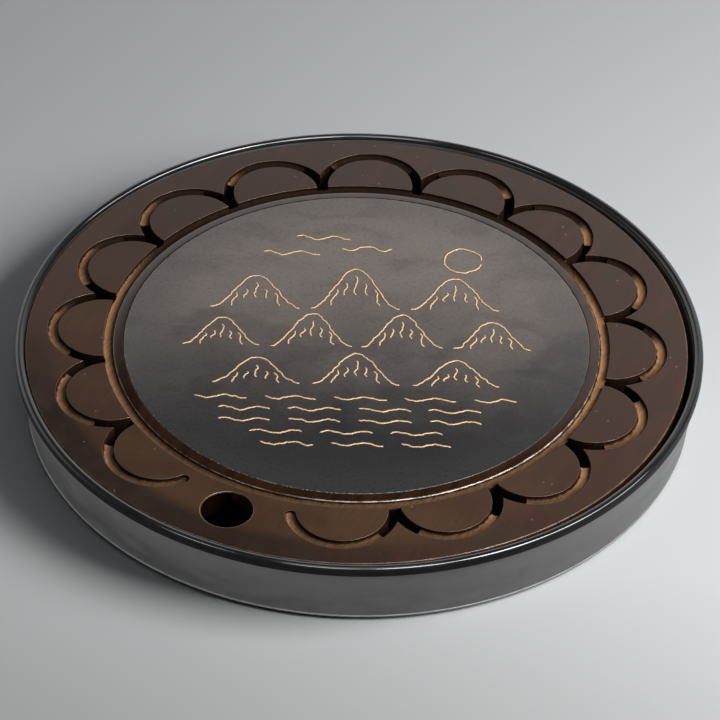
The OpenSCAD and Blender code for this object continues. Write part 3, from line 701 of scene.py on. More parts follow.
def build_pads():
    lo, hi = PD_LO.z / MM, PD_HI.z / MM
    pad = [(0, lo), (3.85, lo), (4.0, lo + 0.15), (4.0, hi - 0.55)] + arc(3.5, hi - 0.55, 0.5, 0, 80, 6) + [(2.6, hi - 0.012), (1.3, hi), (0, hi)]
    parts = []
    for k in range(8):
        p = move(outward(lathe(pad, 40)), 149.0, 0)
        parts.append(move(p, turn=45 * k))
    ob = mesh_object("silicone_pads", *join(parts))
    crease(ob, 50)
    ob.data.materials.append(silicone_material())
    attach(ob, "base")
    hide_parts("seat_pads")


# ---------------------------------------------------------------- drain plate
FLARE, FILLET, BELLY = 0.20, 0.7, 1.35


def groove_levels(half, floor):
    """Half width of a cutter at each height: round bottom, short straight walls, eased top edge."""
    lv = [(floor + BELLY - BELLY * math.cos(math.radians(a)), half * math.sin(math.radians(a))) for a in (14, 26, 38, 50, 62, 76, 90)]
    for a in (0, 18, 36, 54, 72, 86):
        lv.append((TOP - FLARE + FLARE * math.sin(math.radians(a)), half + FLARE - FLARE * math.cos(math.radians(a))))
    lv.append((TOP + 0.004, half + FLARE))
    lv.append((TOP + 1.5, half + FLARE))
    return lv


def arc_outline(k, a0, a1, half, cap0=True, cap1=True, n=84):
    """Outline of an arc band of petal k, as plate coordinates, with round or flat ends."""
    mid = (GRI + GRO) / 2
    pts = []
    for i in range(n + 1):
        a = math.radians(a0 + (a1 - a0) * i / n)
        pts.append(((mid + half) * math.cos(a), (mid + half) * math.sin(a)))
    if cap1:
        a = math.radians(a1)
        cx, cy = mid * math.cos(a), mid * math.sin(a)
        for i in range(1, 12):
            b = a + math.pi * i / 12
            pts.append((cx + half * math.cos(b), cy + half * math.sin(b)))
    for i in range(n, -1, -1):
        a = math.radians(a0 + (a1 - a0) * i / n)
        pts.append(((mid - half) * math.cos(a), (mid - half) * math.sin(a)))
    if cap0:
        a = math.radians(a0)
        cx, cy = mid * math.cos(a), mid * math.sin(a)
        for i in range(1, 12):
            b = a + math.pi + math.pi * i / 12
            pts.append((cx + half * math.cos(b), cy + half * math.sin(b)))
    t = math.radians(PATTERN + k * SEG)
    c, s = math.cos(t), math.sin(t)
    return [(c * (x + PETAL_R) - s * y + CX, s * (x + PETAL_R) + c * y + CY) for x, y in pts]


def groove_cutter(k):
    a0 = -78.0 if k == FINGER_K + 1 else -95.0
    a1 = 78.0 if k == FINGER_K - 1 else 95.0
    half = (GRO - GRI) / 2
    return stack([(arc_outline(k, a0, a1, h), z) for z, h in groove_levels(half, TOP - GH)])


def slot_cutters(k):
    half = (GRO - GRI) / 2 - 0.1
    out = []
    for s in (-1, 1):
        if (s < 0 and k == FINGER_K + 1) or (s > 0 and k == FINGER_K - 1):
            continue
        a0, a1 = (-95.0, -52.0) if s < 0 else (52.0, 95.0)
        lv = [(LOW - 1.0, half + 0.25), (LOW - 0.002, half + 0.25), (LOW + 0.25, half), (TOP - GH + 1.02, half)]
        out.append(stack([(arc_outline(k, a0, a1, h, cap0=False, cap1=False, n=44), z) for z, h in lv]))
    return out


def throat_cutter(k):
    t = PATTERN + (k + 0.5) * SEG
    lv = []
    for z, e in ((LOW - 1.0, 0.25), (LOW - 0.002, 0.25), (LOW + 0.25, 0.0), (TOP - FLARE, 0.0)):
        lv.append((z, e))
    for a in (18, 36, 54, 72, 86):
        lv.append((TOP - FLARE + FLARE * math.sin(math.radians(a)), FLARE - FLARE * math.cos(math.radians(a))))
    lv += [(TOP + 0.004, FLARE), (TOP + 1.5, FLARE)]
    out = []
    for z, e in lv:
        w = 2.7 + e
        pts = [(RING_R - 0.45, -w), (RING_R + 3.2, -w), (RING_R + 3.2, w), (RING_R - 0.45, w)]
        c, s = math.cos(math.radians(t)), math.sin(math.radians(t))
        out.append(([(c * x - s * y + CX, s * x + c * y + CY) for x, y in pts], z))
    return stack(out)


def build_plate():
    prof = [(0, LOW), (PR - 1.0, LOW)] + arc(PR - 1.0, LOW + 1.0, 1.0, -80, 0, 8)
    prof += arc(PR - 0.6, TOP - 0.6, 0.6, 0, 90, 8)
    prof += arc(RING_R + FLARE, TOP - FLARE, FLARE, 90, 180, 7)
    z0 = TOP - GH
    rm, rh = (LAND_R + RING_R) / 2, (RING_R - LAND_R) / 2
    prof += [(rm + rh * math.cos(math.radians(a)), z0 + BELLY - BELLY * math.sin(math.radians(a))) for a in (0, 14, 28, 42, 56, 70, 84, 96, 110, 124, 138, 152, 166, 180)]
    # convex land: highest at the slate, falling faster towards the ring groove
    lx, lz = LAND_R - 0.90, TOP - 1.40
    prof += arc(lx, lz, 0.90, 0, 76, 12)
    xe, ze = prof[-1]
    s0 = SR + 0.2
    for i in range(1, 11):
        t = 1 - i / 11
        prof.append((s0 + (xe - s0) * t, TOP - (TOP - ze) * (0.45 * t + 0.55 * t * t)))
    prof += [(s0 + 0.10, TOP - 0.004), (s0 + 0.03, TOP - 0.04), (s0, TOP - 0.11), (s0, ST_LO.z / MM - 0.5), (0, ST_LO.z / MM - 0.5)]
    ob = mesh_object("wood_plate", *outward(lathe(prof, 480, (CX, CY))))
    ks = [k for k in range(16) if k != FINGER_K]
    boolean(ob, join([groove_cutter(k) for k in ks if k % 2 == 0]))
    boolean(ob, join([groove_cutter(k) for k in ks if k % 2 == 1]))
    boolean(ob, join([c for k in ks if k % 2 == 0 for c in slot_cutters(k)]))
    boolean(ob, join([c for k in ks if k % 2 == 1 for c in slot_cutters(k)]))
    rest = [throat_cutter(k) for k in ks if k != FINGER_K - 1]
    fa = math.radians(PATTERN + FINGER_K * SEG)
    fr = FINGER_D / 2
    e = 0.8
    hole = [(0, LOW - 1), (fr + 0.5, LOW - 1), (fr + 0.5, LOW), (fr, LOW + 0.5), (fr, TOP - e)]
    hole += [(fr + e - e * math.cos(math.radians(a)), TOP - e + e * math.sin(math.radians(a))) for a in (15, 30, 45, 60, 75, 86)]
    hole += [(fr + e, TOP + 0.004), (fr + e, TOP + 1.5), (0, TOP + 1.5)]
    rest.append(move(outward(lathe(hole, 96)), CX + FINGER_R * math.cos(fa), CY + FINGER_R * math.sin(fa)))
    boolean(ob, join(rest))
    crease(ob, 30)
    ob.data.materials.clear()
    ob.data.materials.append(wood_material("flat"))
    ob.data.materials.append(wood_material("groove"))
    idx = []
    for f in ob.data.polygons:
        c = f.center / MM
        r = math.hypot(c.x - CX, c.y - CY)
        away = math.hypot(c.x - CX - FINGER_R * math.cos(fa), c.y - CY - FINGER_R * math.sin(fa))
        cut = LOW + 0.3 < c.z < TOP - 0.19 and LAND_R - 0.05 < r < PR - 6.0
        idx.append(1 if cut or away < fr + 0.4 and LOW + 0.6 < c.z < TOP - 0.75 else 0)
    ob.data.polygons.foreach_set("material_index", idx)
    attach(ob, "plate")
    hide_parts("drain_plate")
    return ob


def build_slate():
    z0 = ST_LO.z / MM
    prof = [(0, z0), (SR - 0.3, z0), (SR, z0 + 0.3), (SR, TOP - 0.45)]
    prof += arc(SR - 0.45, TOP - 0.45, 0.45, 0, 90, 6)
    prof += [(SR - 3.0, TOP), (SR - 20, TOP), (60, TOP), (0, TOP)]
    v, f = outward(lathe(prof, 720, (CX, CY)))
    out = []
    for x, y, z in v:
        r = math.hypot(x - CX, y - CY)
        if r > SR - 0.5 and z > z0 + 1:
            # small chips along the top edge
            n = noise.noise(Vector((x * 0.55, y * 0.55, 3.1))) + 0.6 * noise.noise(Vector((x * 1.7, y * 1.7, 8.3)))
            k = 1 - max(0.0, n - 0.18) * 0.22 / SR
            x, y = CX + (x - CX) * k, CY + (y - CY) * k
            z -= max(0.0, n - 0.18) * 0.14 * (1 if r > SR - 0.3 else 0.4)
        out.append((x, y, z))
    ob = mesh_object("slate_inlay", out, f)
    crease(ob, 40)
    ob.data.materials.append(slate_material())
    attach(ob, "plate")
    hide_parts("slate_disc")


# ---------------------------------------------------------------- gold landscape
HILLS = [
    [[-69.0, 22], [-66.7, 22.7], [-64.3, 24.8], [-62.0, 28.0], [-59.7, 31.9], [-57.3, 36.1], [-55.0, 40.0], [-52.7, 43.2], [-50.3, 45.3], [-48.0, 46.0], [-45.7, 45.3], [-43.3, 43.2], [-41.0, 40.0], [-38.7, 36.1], [-36.3, 31.9], [-34.0, 28.0], [-31.7, 24.8], [-29.3, 22.7], [-27.0, 22]],
    [[-22.0, 22], [-19.7, 22.9], [-17.3, 25.5], [-15.0, 29.5], [-12.7, 34.4], [-10.3, 39.6], [-8.0, 44.5], [-5.7, 48.5], [-3.3, 51.1], [-1.0, 52.0], [1.3, 51.1], [3.7, 48.5], [6.0, 44.5], [8.3, 39.6], [10.7, 34.4], [13.0, 29.5], [15.3, 25.5], [17.7, 22.9], [20.0, 22]],
    [[25.0, 22], [27.3, 22.7], [29.7, 24.8], [32.0, 28.0], [34.3, 31.9], [36.7, 36.1], [39.0, 40.0], [41.3, 43.2], [43.7, 45.3], [46.0, 46.0], [48.3, 45.3], [50.7, 43.2], [53.0, 40.0], [55.3, 36.1], [57.7, 31.9], [60.0, 28.0], [62.3, 24.8], [64.7, 22.7], [67.0, 22]],
    [[-81.0, -6], [-79.0, -5.4], [-77.0, -3.7], [-75.0, -1.0], [-73.0, 2.3], [-71.0, 5.7], [-69.0, 9.0], [-67.0, 11.7], [-65.0, 13.4], [-63.0, 14.0], [-61.0, 13.4], [-59.0, 11.7], [-57.0, 9.0], [-55.0, 5.7], [-53.0, 2.3], [-51.0, -1.0], [-49.0, -3.7], [-47.0, -5.4], [-45.0, -6]],
    [[-40.0, -6], [-37.9, -5.3], [-35.8, -3.2], [-33.7, -0.0], [-31.6, 3.9], [-29.4, 8.1], [-27.3, 12.0], [-25.2, 15.2], [-23.1, 17.3], [-21.0, 18.0], [-18.9, 17.3], [-16.8, 15.2], [-14.7, 12.0], [-12.6, 8.1], [-10.4, 3.9], [-8.3, -0.0], [-6.2, -3.2], [-4.1, -5.3], [-2.0, -6]],
    [[2.0, -6], [4.1, -5.3], [6.2, -3.2], [8.3, -0.0], [10.4, 3.9], [12.6, 8.1], [14.7, 12.0], [16.8, 15.2], [18.9, 17.3], [21.0, 18.0], [23.1, 17.3], [25.2, 15.2], [27.3, 12.0], [29.4, 8.1], [31.6, 3.9], [33.7, -0.0], [35.8, -3.2], [37.9, -5.3], [40.0, -6]],
    [[45.0, -6], [47.0, -5.4], [49.0, -3.7], [51.0, -1.0], [53.0, 2.3], [55.0, 5.7], [57.0, 9.0], [59.0, 11.7], [61.0, 13.4], [63.0, 14.0], [65.0, 13.4], [67.0, 11.7], [69.0, 9.0], [71.0, 5.7], [73.0, 2.3], [75.0, -1.0], [77.0, -3.7], [79.0, -5.4], [81.0, -6]],
    [[-66.0, -33], [-63.8, -32.5], [-61.6, -30.9], [-59.3, -28.5], [-57.1, -25.6], [-54.9, -22.4], [-52.7, -19.5], [-50.4, -17.1], [-48.2, -15.5], [-46.0, -15.0], [-43.8, -15.5], [-41.6, -17.1], [-39.3, -19.5], [-37.1, -22.4], [-34.9, -25.6], [-32.7, -28.5], [-30.4, -30.9], [-28.2, -32.5], [-26.0, -33]],
    [[-20.0, -33], [-17.8, -32.3], [-15.6, -30.4], [-13.3, -27.5], [-11.1, -23.9], [-8.9, -20.1], [-6.7, -16.5], [-4.4, -13.6], [-2.2, -11.7], [0.0, -11.0], [2.2, -11.7], [4.4, -13.6], [6.7, -16.5], [8.9, -20.1], [11.1, -23.9], [13.3, -27.5], [15.6, -30.4], [17.8, -32.3], [20.0, -33]],
    [[26.0, -33], [28.2, -32.5], [30.4, -30.9], [32.7, -28.5], [34.9, -25.6], [37.1, -22.4], [39.3, -19.5], [41.6, -17.1], [43.8, -15.5], [46.0, -15.0], [48.2, -15.5], [50.4, -17.1], [52.7, -19.5], [54.9, -22.4], [57.1, -25.6], [59.3, -28.5], [61.6, -30.9], [63.8, -32.5], [66.0, -33]]]
FOLDS = [
    [[-56.8, 33.0], [-56.8, 30.5], [-58.1, 27.9], [-59.5, 25.4], [-59.5, 22.9]],
    [[-48.0, 41.0], [-47.3, 38.0], [-48.0, 35.0], [-48.7, 32.0], [-48.0, 29.0]],
    [[-39.2, 33.0], [-37.8, 30.5], [-37.9, 27.9], [-37.9, 25.4], [-36.5, 22.9]],
    [[-9.8, 36.7], [-9.8, 33.6], [-11.1, 30.4], [-12.5, 27.3], [-12.5, 24.1]],
    [[-1.0, 47.0], [-0.3, 43.2], [-1.0, 39.5], [-1.7, 35.8], [-1.0, 32.0]],
    [[7.8, 36.7], [9.2, 33.6], [9.1, 30.4], [9.1, 27.3], [10.5, 24.1]],
    [[37.2, 33.0], [37.2, 30.5], [35.9, 27.9], [34.5, 25.4], [34.5, 22.9]],
    [[46.0, 41.0], [46.7, 38.0], [46.0, 35.0], [45.3, 32.0], [46.0, 29.0]],
    [[54.8, 33.0], [56.2, 30.5], [56.1, 27.9], [56.1, 25.4], [57.5, 22.9]],
    [[-70.6, 2.5], [-70.4, 0.4], [-71.7, -1.7], [-73.0, -3.8], [-72.8, -5.9]],
    [[-63.0, 9.0], [-62.3, 6.5], [-63.0, 4.0], [-63.7, 1.5], [-63.0, -1.0]],
    [[-55.4, 2.5], [-54.2, 0.4], [-54.3, -1.7], [-54.4, -3.8], [-53.2, -5.9]],
    [[-29.0, 5.0], [-28.9, 2.5], [-30.2, -0.1], [-31.5, -2.6], [-31.4, -5.1]],
    [[-21.0, 13.0], [-20.3, 10.0], [-21.0, 7.0], [-21.7, 4.0], [-21.0, 1.0]],
    [[-13.0, 5.0], [-11.7, 2.5], [-11.8, -0.1], [-11.9, -2.6], [-10.6, -5.1]],
    [[13.0, 5.0], [13.1, 2.5], [11.8, -0.1], [10.5, -2.6], [10.6, -5.1]],
    [[21.0, 13.0], [21.7, 10.0], [21.0, 7.0], [20.3, 4.0], [21.0, 1.0]],
    [[29.0, 5.0], [30.3, 2.5], [30.2, -0.1], [30.1, -2.6], [31.4, -5.1]],
    [[55.4, 2.5], [55.6, 0.4], [54.3, -1.7], [53.0, -3.8], [53.2, -5.9]],
    [[63.0, 9.0], [63.7, 6.5], [63.0, 4.0], [62.3, 1.5], [63.0, -1.0]],
    [[70.6, 2.5], [71.8, 0.4], [71.7, -1.7], [71.6, -3.8], [72.8, -5.9]],
    [[-54.4, -25.8], [-54.3, -27.7], [-55.7, -29.5], [-57.0, -31.4], [-56.9, -33.3]],
    [[-46.0, -20.0], [-45.3, -22.2], [-46.0, -24.5], [-46.7, -26.8], [-46.0, -29.0]],
    [[-37.6, -25.8], [-36.3, -27.7], [-36.3, -29.5], [-36.4, -31.4], [-35.1, -33.3]],
    [[-8.4, -23.3], [-8.3, -25.6], [-9.7, -27.9], [-11.0, -30.2], [-10.9, -32.5]],
    [[0.0, -16.0], [0.7, -18.8], [0.0, -21.5], [-0.7, -24.2], [-0.0, -27.0]],
    [[8.4, -23.3], [9.7, -25.6], [9.7, -27.9], [9.6, -30.2], [10.9, -32.5]],
    [[37.6, -25.8], [37.7, -27.7], [36.3, -29.5], [35.0, -31.4], [35.1, -33.3]],
    [[46.0, -20.0], [46.7, -22.2], [46.0, -24.5], [45.3, -26.8], [46.0, -29.0]],
    [[54.4, -25.8], [55.7, -27.7], [55.7, -29.5], [55.6, -31.4], [56.9, -33.3]]]
WATER = [
    [[-73.8, -42.3], [-70.4, -43.7], [-66.9, -44.0], [-63.5, -42.8], [-60.1, -41.9], [-56.6, -42.7], [-53.2, -44.0], [-49.8, -43.7]],
    [[-41.8, -42.3], [-38.4, -43.7], [-34.9, -44.0], [-31.5, -42.8], [-28.1, -41.9], [-24.6, -42.7], [-21.2, -44.0], [-17.8, -43.7]],
    [[-9.8, -42.3], [-6.4, -43.7], [-2.9, -44.0], [0.5, -42.8], [3.9, -41.9], [7.4, -42.7], [10.8, -44.0], [14.2, -43.7]],
    [[22.2, -42.3], [25.6, -43.7], [29.1, -44.0], [32.5, -42.8], [35.9, -41.9], [39.4, -42.7], [42.8, -44.0], [46.2, -43.7]],
    [[54.2, -42.3], [57.5, -43.6], [60.7, -44.1], [64.0, -43.0], [67.3, -41.9], [70.5, -42.4], [73.8, -43.7]],
    [[-62.7, -50.5], [-59.3, -49.9], [-55.9, -51.1], [-52.4, -52.1], [-49.0, -51.4], [-45.6, -50.1], [-42.1, -50.2], [-38.7, -51.5]],
    [[-30.7, -50.5], [-27.3, -49.9], [-23.9, -51.1], [-20.4, -52.1], [-17.0, -51.4], [-13.6, -50.1], [-10.1, -50.2], [-6.7, -51.5]],
    [[1.3, -50.5], [4.7, -49.9], [8.1, -51.1], [11.6, -52.1], [15.0, -51.4], [18.4, -50.1], [21.9, -50.2], [25.3, -51.5]],
    [[33.3, -50.5], [36.7, -49.9], [40.1, -51.1], [43.6, -52.1], [47.0, -51.4], [50.4, -50.1], [53.9, -50.2], [57.3, -51.5]],
    [[-62.3, -58.3], [-58.9, -58.0], [-55.4, -59.2], [-52.0, -60.1], [-48.6, -59.2], [-45.1, -58.0], [-41.7, -58.3], [-38.3, -59.7]],
    [[-30.3, -58.3], [-26.9, -58.0], [-23.4, -59.2], [-20.0, -60.1], [-16.6, -59.2], [-13.1, -58.0], [-9.7, -58.3], [-6.3, -59.7]],
    [[1.7, -58.3], [5.1, -58.0], [8.6, -59.2], [12.0, -60.1], [15.4, -59.2], [18.9, -58.0], [22.3, -58.3], [25.7, -59.7]],
    [[33.7, -58.3], [37.1, -58.0], [40.6, -59.2], [44.0, -60.1], [47.4, -59.2], [50.9, -58.0], [54.3, -58.3], [57.7, -59.7]],
    [[-48.1, -67.0], [-44.6, -65.9], [-41.2, -66.5], [-37.8, -67.8], [-34.3, -67.9], [-30.9, -66.5], [-27.5, -65.9], [-24.1, -67.0]],
    [[-16.1, -67.0], [-12.6, -65.9], [-9.2, -66.5], [-5.8, -67.8], [-2.3, -67.9], [1.1, -66.5], [4.5, -65.9], [7.9, -67.0]],
    [[15.9, -67.0], [19.4, -65.9], [22.8, -66.5], [26.2, -67.8], [29.7, -67.9], [33.1, -66.5], [36.5, -65.9], [39.9, -67.0]],
    [[-43.0, -74.0], [-39.6, -75.2], [-36.2, -76.1], [-32.7, -75.3], [-29.3, -74.0], [-25.9, -74.3], [-22.5, -75.6], [-19.0, -76.0]],
    [[-11.0, -74.0], [-7.6, -75.2], [-4.2, -76.1], [-0.7, -75.3], [2.7, -74.0], [6.1, -74.3], [9.5, -75.6], [13.0, -76.0]],
    [[21.0, -74.0], [24.6, -75.3], [28.3, -76.1], [32.0, -75.0], [35.7, -73.9], [39.4, -74.7], [43.0, -76.0]]]
SKY = [
    [[-46.0, 65.1], [-42.5, 65.3], [-39.0, 63.4], [-35.5, 62.4], [-32.0, 64.0], [-28.5, 65.6], [-25.0, 64.6], [-21.5, 62.7], [-18.0, 62.9]],
    [[-8.0, 68.0], [-4.6, 66.4], [-1.1, 67.3], [2.3, 69.3], [5.7, 69.3], [9.1, 67.3], [12.6, 66.4], [16.0, 68.0]],
    [[-30.0, 77.1], [-26.8, 77.4], [-23.5, 75.7], [-20.2, 74.4], [-17.0, 75.4], [-13.8, 77.2], [-10.5, 77.3], [-7.2, 75.5], [-4.0, 74.4]],
    [[59.0, 60.0], [58.6, 62.7], [57.4, 65.1], [55.6, 67.0], [53.3, 68.4], [50.6, 69.0], [48.0, 68.8], [45.5, 67.8], [43.4, 66.1], [41.9, 63.8], [41.1, 61.3], [41.1, 58.6], [41.9, 56.0], [43.5, 53.8], [45.6, 52.2], [48.1, 51.2], [50.8, 51.0], [53.4, 51.7], [55.7, 53.0], [57.5, 55.0], [58.6, 57.5]]]
# finer folds, only here
FINE = [
    [[-52.2, 35.7], [-51.8, 33.9], [-52.8, 32.1], [-53.8, 30.3], [-53.5, 28.5]],
    [[-43.8, 35.7], [-42.8, 33.9], [-43.2, 32.1], [-43.6, 30.3], [-42.5, 28.5]],
    [[-5.2, 41.1], [-4.8, 38.9], [-5.8, 36.6], [-6.8, 34.4], [-6.5, 32.1]],
    [[3.2, 41.1], [4.2, 38.9], [3.8, 36.6], [3.4, 34.4], [4.5, 32.1]],
    [[41.8, 35.7], [42.2, 33.9], [41.2, 32.1], [40.2, 30.3], [40.5, 28.5]],
    [[50.2, 35.7], [51.2, 33.9], [50.8, 32.1], [50.4, 30.3], [51.5, 28.5]],
    [[-66.6, 4.1], [-66.2, 2.6], [-67.1, 1.1], [-68.1, -0.4], [-67.7, -1.9]],
    [[-59.4, 4.1], [-58.4, 2.6], [-58.9, 1.1], [-59.3, -0.4], [-58.3, -1.9]],
    [[-24.8, 7.7], [-24.4, 5.9], [-25.4, 4.1], [-26.4, 2.3], [-25.9, 0.5]],
    [[-17.2, 7.7], [-16.2, 5.9], [-16.6, 4.1], [-17.0, 2.3], [-16.1, 0.5]],
    [[17.2, 7.7], [17.6, 5.9], [16.6, 4.1], [15.6, 2.3], [16.1, 0.5]],
    [[24.8, 7.7], [25.8, 5.9], [25.4, 4.1], [25.0, 2.3], [25.9, 0.5]],
    [[59.4, 4.1], [59.8, 2.6], [58.9, 1.1], [57.9, -0.4], [58.3, -1.9]],
    [[66.6, 4.1], [67.6, 2.6], [67.1, 1.1], [66.7, -0.4], [67.7, -1.9]],
    [[-50.0, -24.7], [-49.6, -26.1], [-50.6, -27.4], [-51.6, -28.8], [-51.2, -30.1]],
    [[-42.0, -24.7], [-41.0, -26.1], [-41.4, -27.4], [-41.8, -28.8], [-40.8, -30.1]],
    [[-4.0, -21.1], [-3.6, -22.8], [-4.6, -24.4], [-5.6, -26.1], [-5.2, -27.7]],
    [[4.0, -21.1], [5.0, -22.8], [4.6, -24.4], [4.2, -26.1], [5.2, -27.7]],
    [[42.0, -24.7], [42.4, -26.1], [41.4, -27.4], [40.4, -28.8], [40.8, -30.1]],
    [[50.0, -24.7], [51.0, -26.1], [50.6, -27.4], [50.2, -28.8], [51.2, -30.1]]]


def smooth_path(p, step=0.55):
    """Curve through the points, evenly stepped, with the small tremor of a hand-cut line."""
    p = [Vector((float(x), float(y))) for x, y in p]
    ext = [2 * p[0] - p[1]] + p + [2 * p[-1] - p[-2]]
    out = []
    for i in range(1, len(ext) - 2):
        a, b_, c, d = ext[i - 1], ext[i], ext[i + 1], ext[i + 2]
        n = max(2, int((c - b_).length / step))
        for j in range(n):
            t = j / n
            out.append(0.5 * ((2 * b_) + (c - a) * t + (2 * a - 5 * b_ + 4 * c - d) * t * t + (3 * b_ - a - 3 * c + d) * t ** 3))
    out.append(p[-1])
    res = []
    for q in out:
        w = Vector((noise.noise(Vector((q.x * 0.30, q.y * 0.30, 1.7))), noise.noise(Vector((q.x * 0.30, q.y * 0.30, 6.1)))))
        w2 = Vector((noise.noise(Vector((q.x * 0.9, q.y * 0.9, 2.4))), noise.noise(Vector((q.x * 0.9, q.y * 0.9, 9.2)))))
        res.append(q + w * 0.65 + w2 * 0.34)
    return res


def ribbon(path, width, height, base, rows=8):
    """Low dome along the path with round ends."""
    n = len(path)
    s = [0.0]
    for a, b_ in zip(path, path[1:]):
        s.append(s[-1] + (b_ - a).length)
    total = s[-1]
    verts, faces = [], []
    for i, q in enumerate(path):
        d = (path[min(i + 1, n - 1)] - path[max(i - 1, 0)]).normalized()
        nrm = Vector((-d.y, d.x))
        e = min(s[i], total - s[i])
        hw = width / 2
        t = min(1.0, e / hw)
        round_ = math.sqrt(max(0.0, 1 - (1 - t) ** 2)) if t < 1 else 1.0
        w = hw * max(0.12, round_) * (1 + 0.14 * noise.noise(Vector((q.x * 0.5, q.y * 0.5, 4.4))))
        for j in range(rows + 1):
            u = -1 + 2 * j / rows
            z = base + height * max(0.2, round_) * math.sqrt(max(0.0, 1 - u * u)) * 0.98
            verts.append((q.x + nrm.x * w * u, q.y + nrm.y * w * u, z))
    m = rows + 1
    for i in range(n - 1):
        for j in range(rows):
            a = i * m + j
            faces.append((a, a + 1, a + m + 1, a + m))
        # flat underside
        faces.append((i * m + rows, i * m, (i + 1) * m, (i + 1) * m + rows))
    faces.append(tuple(range(m)))
    faces.append(tuple(range((n - 1) * m, n * m))[::-1])
    return verts, faces


def build_gold():
    gold, edge = [], []
    for p in HILLS + FOLDS + WATER + SKY + FINE:
        path = smooth_path(p)
        gold.append(outward(ribbon(path, 0.78, 0.165, TOP + 0.012)))
        # wider dark ribbon under each line: painted shade of its engraved groove
        edge.append(outward(ribbon(path, 1.30, 0.045, TOP + 0.002, rows=4)))
    gv, gf = join(gold)
    ev, ef = join(edge)
    off = len(gv)
    v = [(x + CX, y + CY, z) for x, y, z in gv + ev]
    ob = mesh_object("gold_landscape", v, gf + [tuple(i + off for i in g) for g in ef])
    ob.data.set_sharp_from_angle(angle=math.radians(60))
    ob.data.materials.append(gold_material())
    ob.data.materials.append(groove_shade_material())
    idx = [0] * len(gf) + [1] * len(ef)
    if len(ob.data.polygons) == len(idx):
        ob.data.polygons.foreach_set("material_index", idx)
    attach(ob, "plate")
    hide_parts("gold_lines")


build_basin()
build_feet()
build_pads()
build_plate()
build_slate()
build_gold()
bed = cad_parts["slate_bed"]
bed.data.materials.clear()
bed.data.materials.append(adhesive_material())


# ---------------------------------------------------------------- floor, light, camera
def build_stage():
    n = 40
    verts = [(-3000 + 6000 * i / n, -3000 + 6000 * j / n, 0.0) for j in range(n + 1) for i in range(n + 1)]
    faces = [(j * (n + 1) + i, j * (n + 1) + i + 1, (j + 1) * (n + 1) + i + 1, (j + 1) * (n + 1) + i) for j in range(n) for i in range(n)]
    ob = mesh_object("floor", verts, faces)
    ob.data.materials.append(floor_material())


def area(name, loc, aim, size, watts, colour=(1, 1, 1), diffuse=True, glossy=True, shape="SQUARE", size_y=None):
    d = bpy.data.lights.new(name, "AREA")
    d.energy = watts
    d.color = colour
    d.shape = "RECTANGLE" if size_y else shape
    d.size = size
    if size_y:
        d.size_y = size_y
    o = bpy.data.objects.new(name, d)
    o.location = loc
    o.rotation_mode = "QUATERNION"
    o.rotation_quaternion = (Vector(aim) - Vector(loc)).to_track_quat("-Z", "Y")
    o.visible_diffuse = diffuse
    o.visible_glossy = glossy
    scene.collection.objects.link(o)
    return o


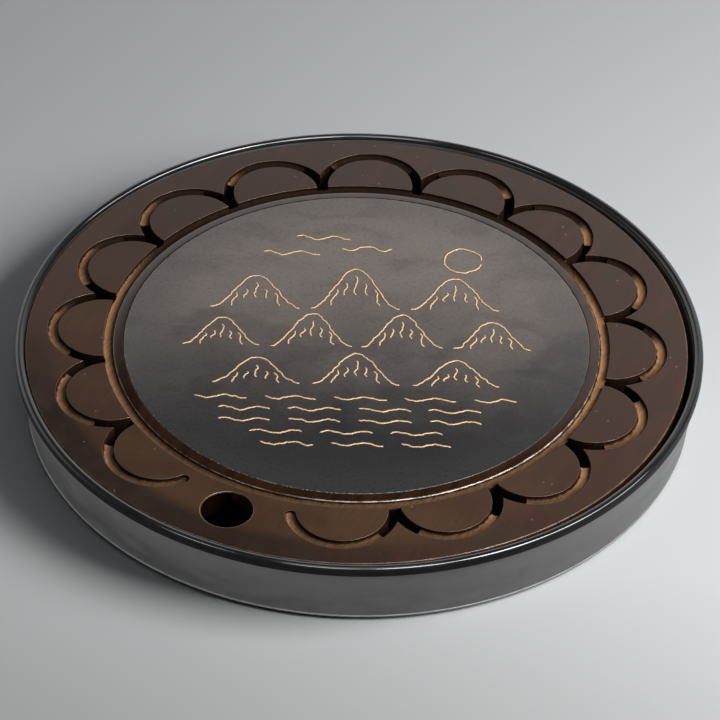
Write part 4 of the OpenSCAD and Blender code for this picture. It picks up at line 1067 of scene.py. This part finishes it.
def build_light():
    c = Vector((CX * MM, CY * MM, TOP * MM))
    a, e = math.radians(-18.0), math.radians(40.0)
    area("key", (math.cos(e) * math.cos(a), math.cos(e) * math.sin(a), math.sin(e)), (0, 0, 0), 0.58, 14.2, (1.0, 0.985, 0.965), glossy=False)
    area("over", (0.0, 0.05, 1.9), c, 1.8, 2.6, (0.96, 0.98, 1.0), glossy=False)
    # weak fill that only the basin takes, for its wall away from the key light
    fill = area("wall_fill", (-1.12, -0.70, 0.44), (-0.10, -0.08, 0.02), 0.9, 11.0, glossy=False)
    only = bpy.data.collections.new("basin_only")
    only.objects.link(bpy.data.objects["basin_shell"])
    fill.light_linking.receiver_collection = only
    w = bpy.data.worlds.new("studio")
    scene.world = w
    w.use_nodes = True
    nt = w.node_tree
    nt.nodes.clear()
    out = nt.nodes.new("ShaderNodeOutputWorld")
    bg = nt.nodes.new("ShaderNodeBackground")
    nt.links.new(bg.outputs[0], out.inputs[0])
    t = nt.nodes.new("ShaderNodeTexCoord")
    x, y, z = xyz(nt, t.outputs["Generated"])
    el = math_(nt, "MULTIPLY", math_(nt, "ARCSINE", z), 57.2958)
    az = math_(nt, "MULTIPLY", math_(nt, "ARCTAN2", x, y), 57.2958)       # 0 behind the object, + to the right
    azc = math_(nt, "MINIMUM", math_(nt, "MAXIMUM", az, -9.0), 12.0)
    s = math_(nt, "SUBTRACT", math_(nt, "SUBTRACT", el, 39.0), math_(nt, "MULTIPLY", azc, 0.4))
    wall = ramp(nt, s, 8.0, -8.0)
    back = math_(nt, "MULTIPLY", ramp(nt, az, -110.0, -50.0), ramp(nt, az, 60.0, 20.0, 0.08, 1.0))
    bright = math_(nt, "MULTIPLY", wall, back)
    level = math_(nt, "ADD", math_(nt, "MULTIPLY", bright, 1.15), 0.06)
    # bright windows, which only the gloss sees: direction, radius in degrees, radiance
    for (gx, gy, gz), wide, strength in (((0.473, -0.245, 0.846), 9.5, 35.0), ((0.673, -0.091, 0.735), 8.0, 21.0), ((0.795, 0.103, 0.598), 8.0, 10.0),
                                         ((0.202, -0.378, 0.907), 8.0, 25.0), ((-0.101, -0.398, 0.913), 8.0, 9.0),
                                         ((-0.500, -0.200, 0.845), 7.2, 6.3), ((0.0, 0.0, 1.0), 10.0, 3.0)):
        d = vec(nt, "DOT_PRODUCT", t.outputs["Generated"], Vector((gx, gy, gz)).normalized())
        level = math_(nt, "ADD", level, ramp(nt, d, math.cos(math.radians(wide + 1.5)), math.cos(math.radians(wide - 1.5)), 0.0, strength))
    put(nt, bg.inputs["Color"], combine(nt, math_(nt, "MULTIPLY", level, 0.98), math_(nt, "MULTIPLY", level, 0.99), level))
    bg.inputs["Strength"].default_value = 1.0
    w.cycles_visibility.diffuse = False


def build_camera():
    el, roll, dist = 0.6932845048, -0.0191207687, 10.9696305287
    ox, oy, f = 356.7351498996, 338.6871277697, 3770.8020997
    ce, se, cr, sr = math.cos(el), math.sin(el), math.cos(roll), math.sin(roll)
    rv = Matrix(((1, 0, 0), (0, se, ce), (0, -ce, se)))
    rr = Matrix(((cr, -sr, 0), (sr, cr, 0), (0, 0, 1)))
    rot = rr @ rv
    t = Vector(((ox - 360) / f * dist, -(oy - 360) / f * dist, -dist))
    loc = -(rot.transposed() @ t) * 0.160 + Vector((CX * MM, CY * MM, TOP * MM))
    cam = bpy.data.cameras.new("camera")
    cam.sensor_width = 36.0
    cam.lens = f * 36.0 / 720.0
    cam.clip_start, cam.clip_end = 0.05, 50.0
    ob = bpy.data.objects.new("camera", cam)
    ob.matrix_world = Matrix.Translation(loc) @ rot.transposed().to_4x4()
    scene.collection.objects.link(ob)
    scene.camera = ob


build_stage()
build_light()
build_camera()
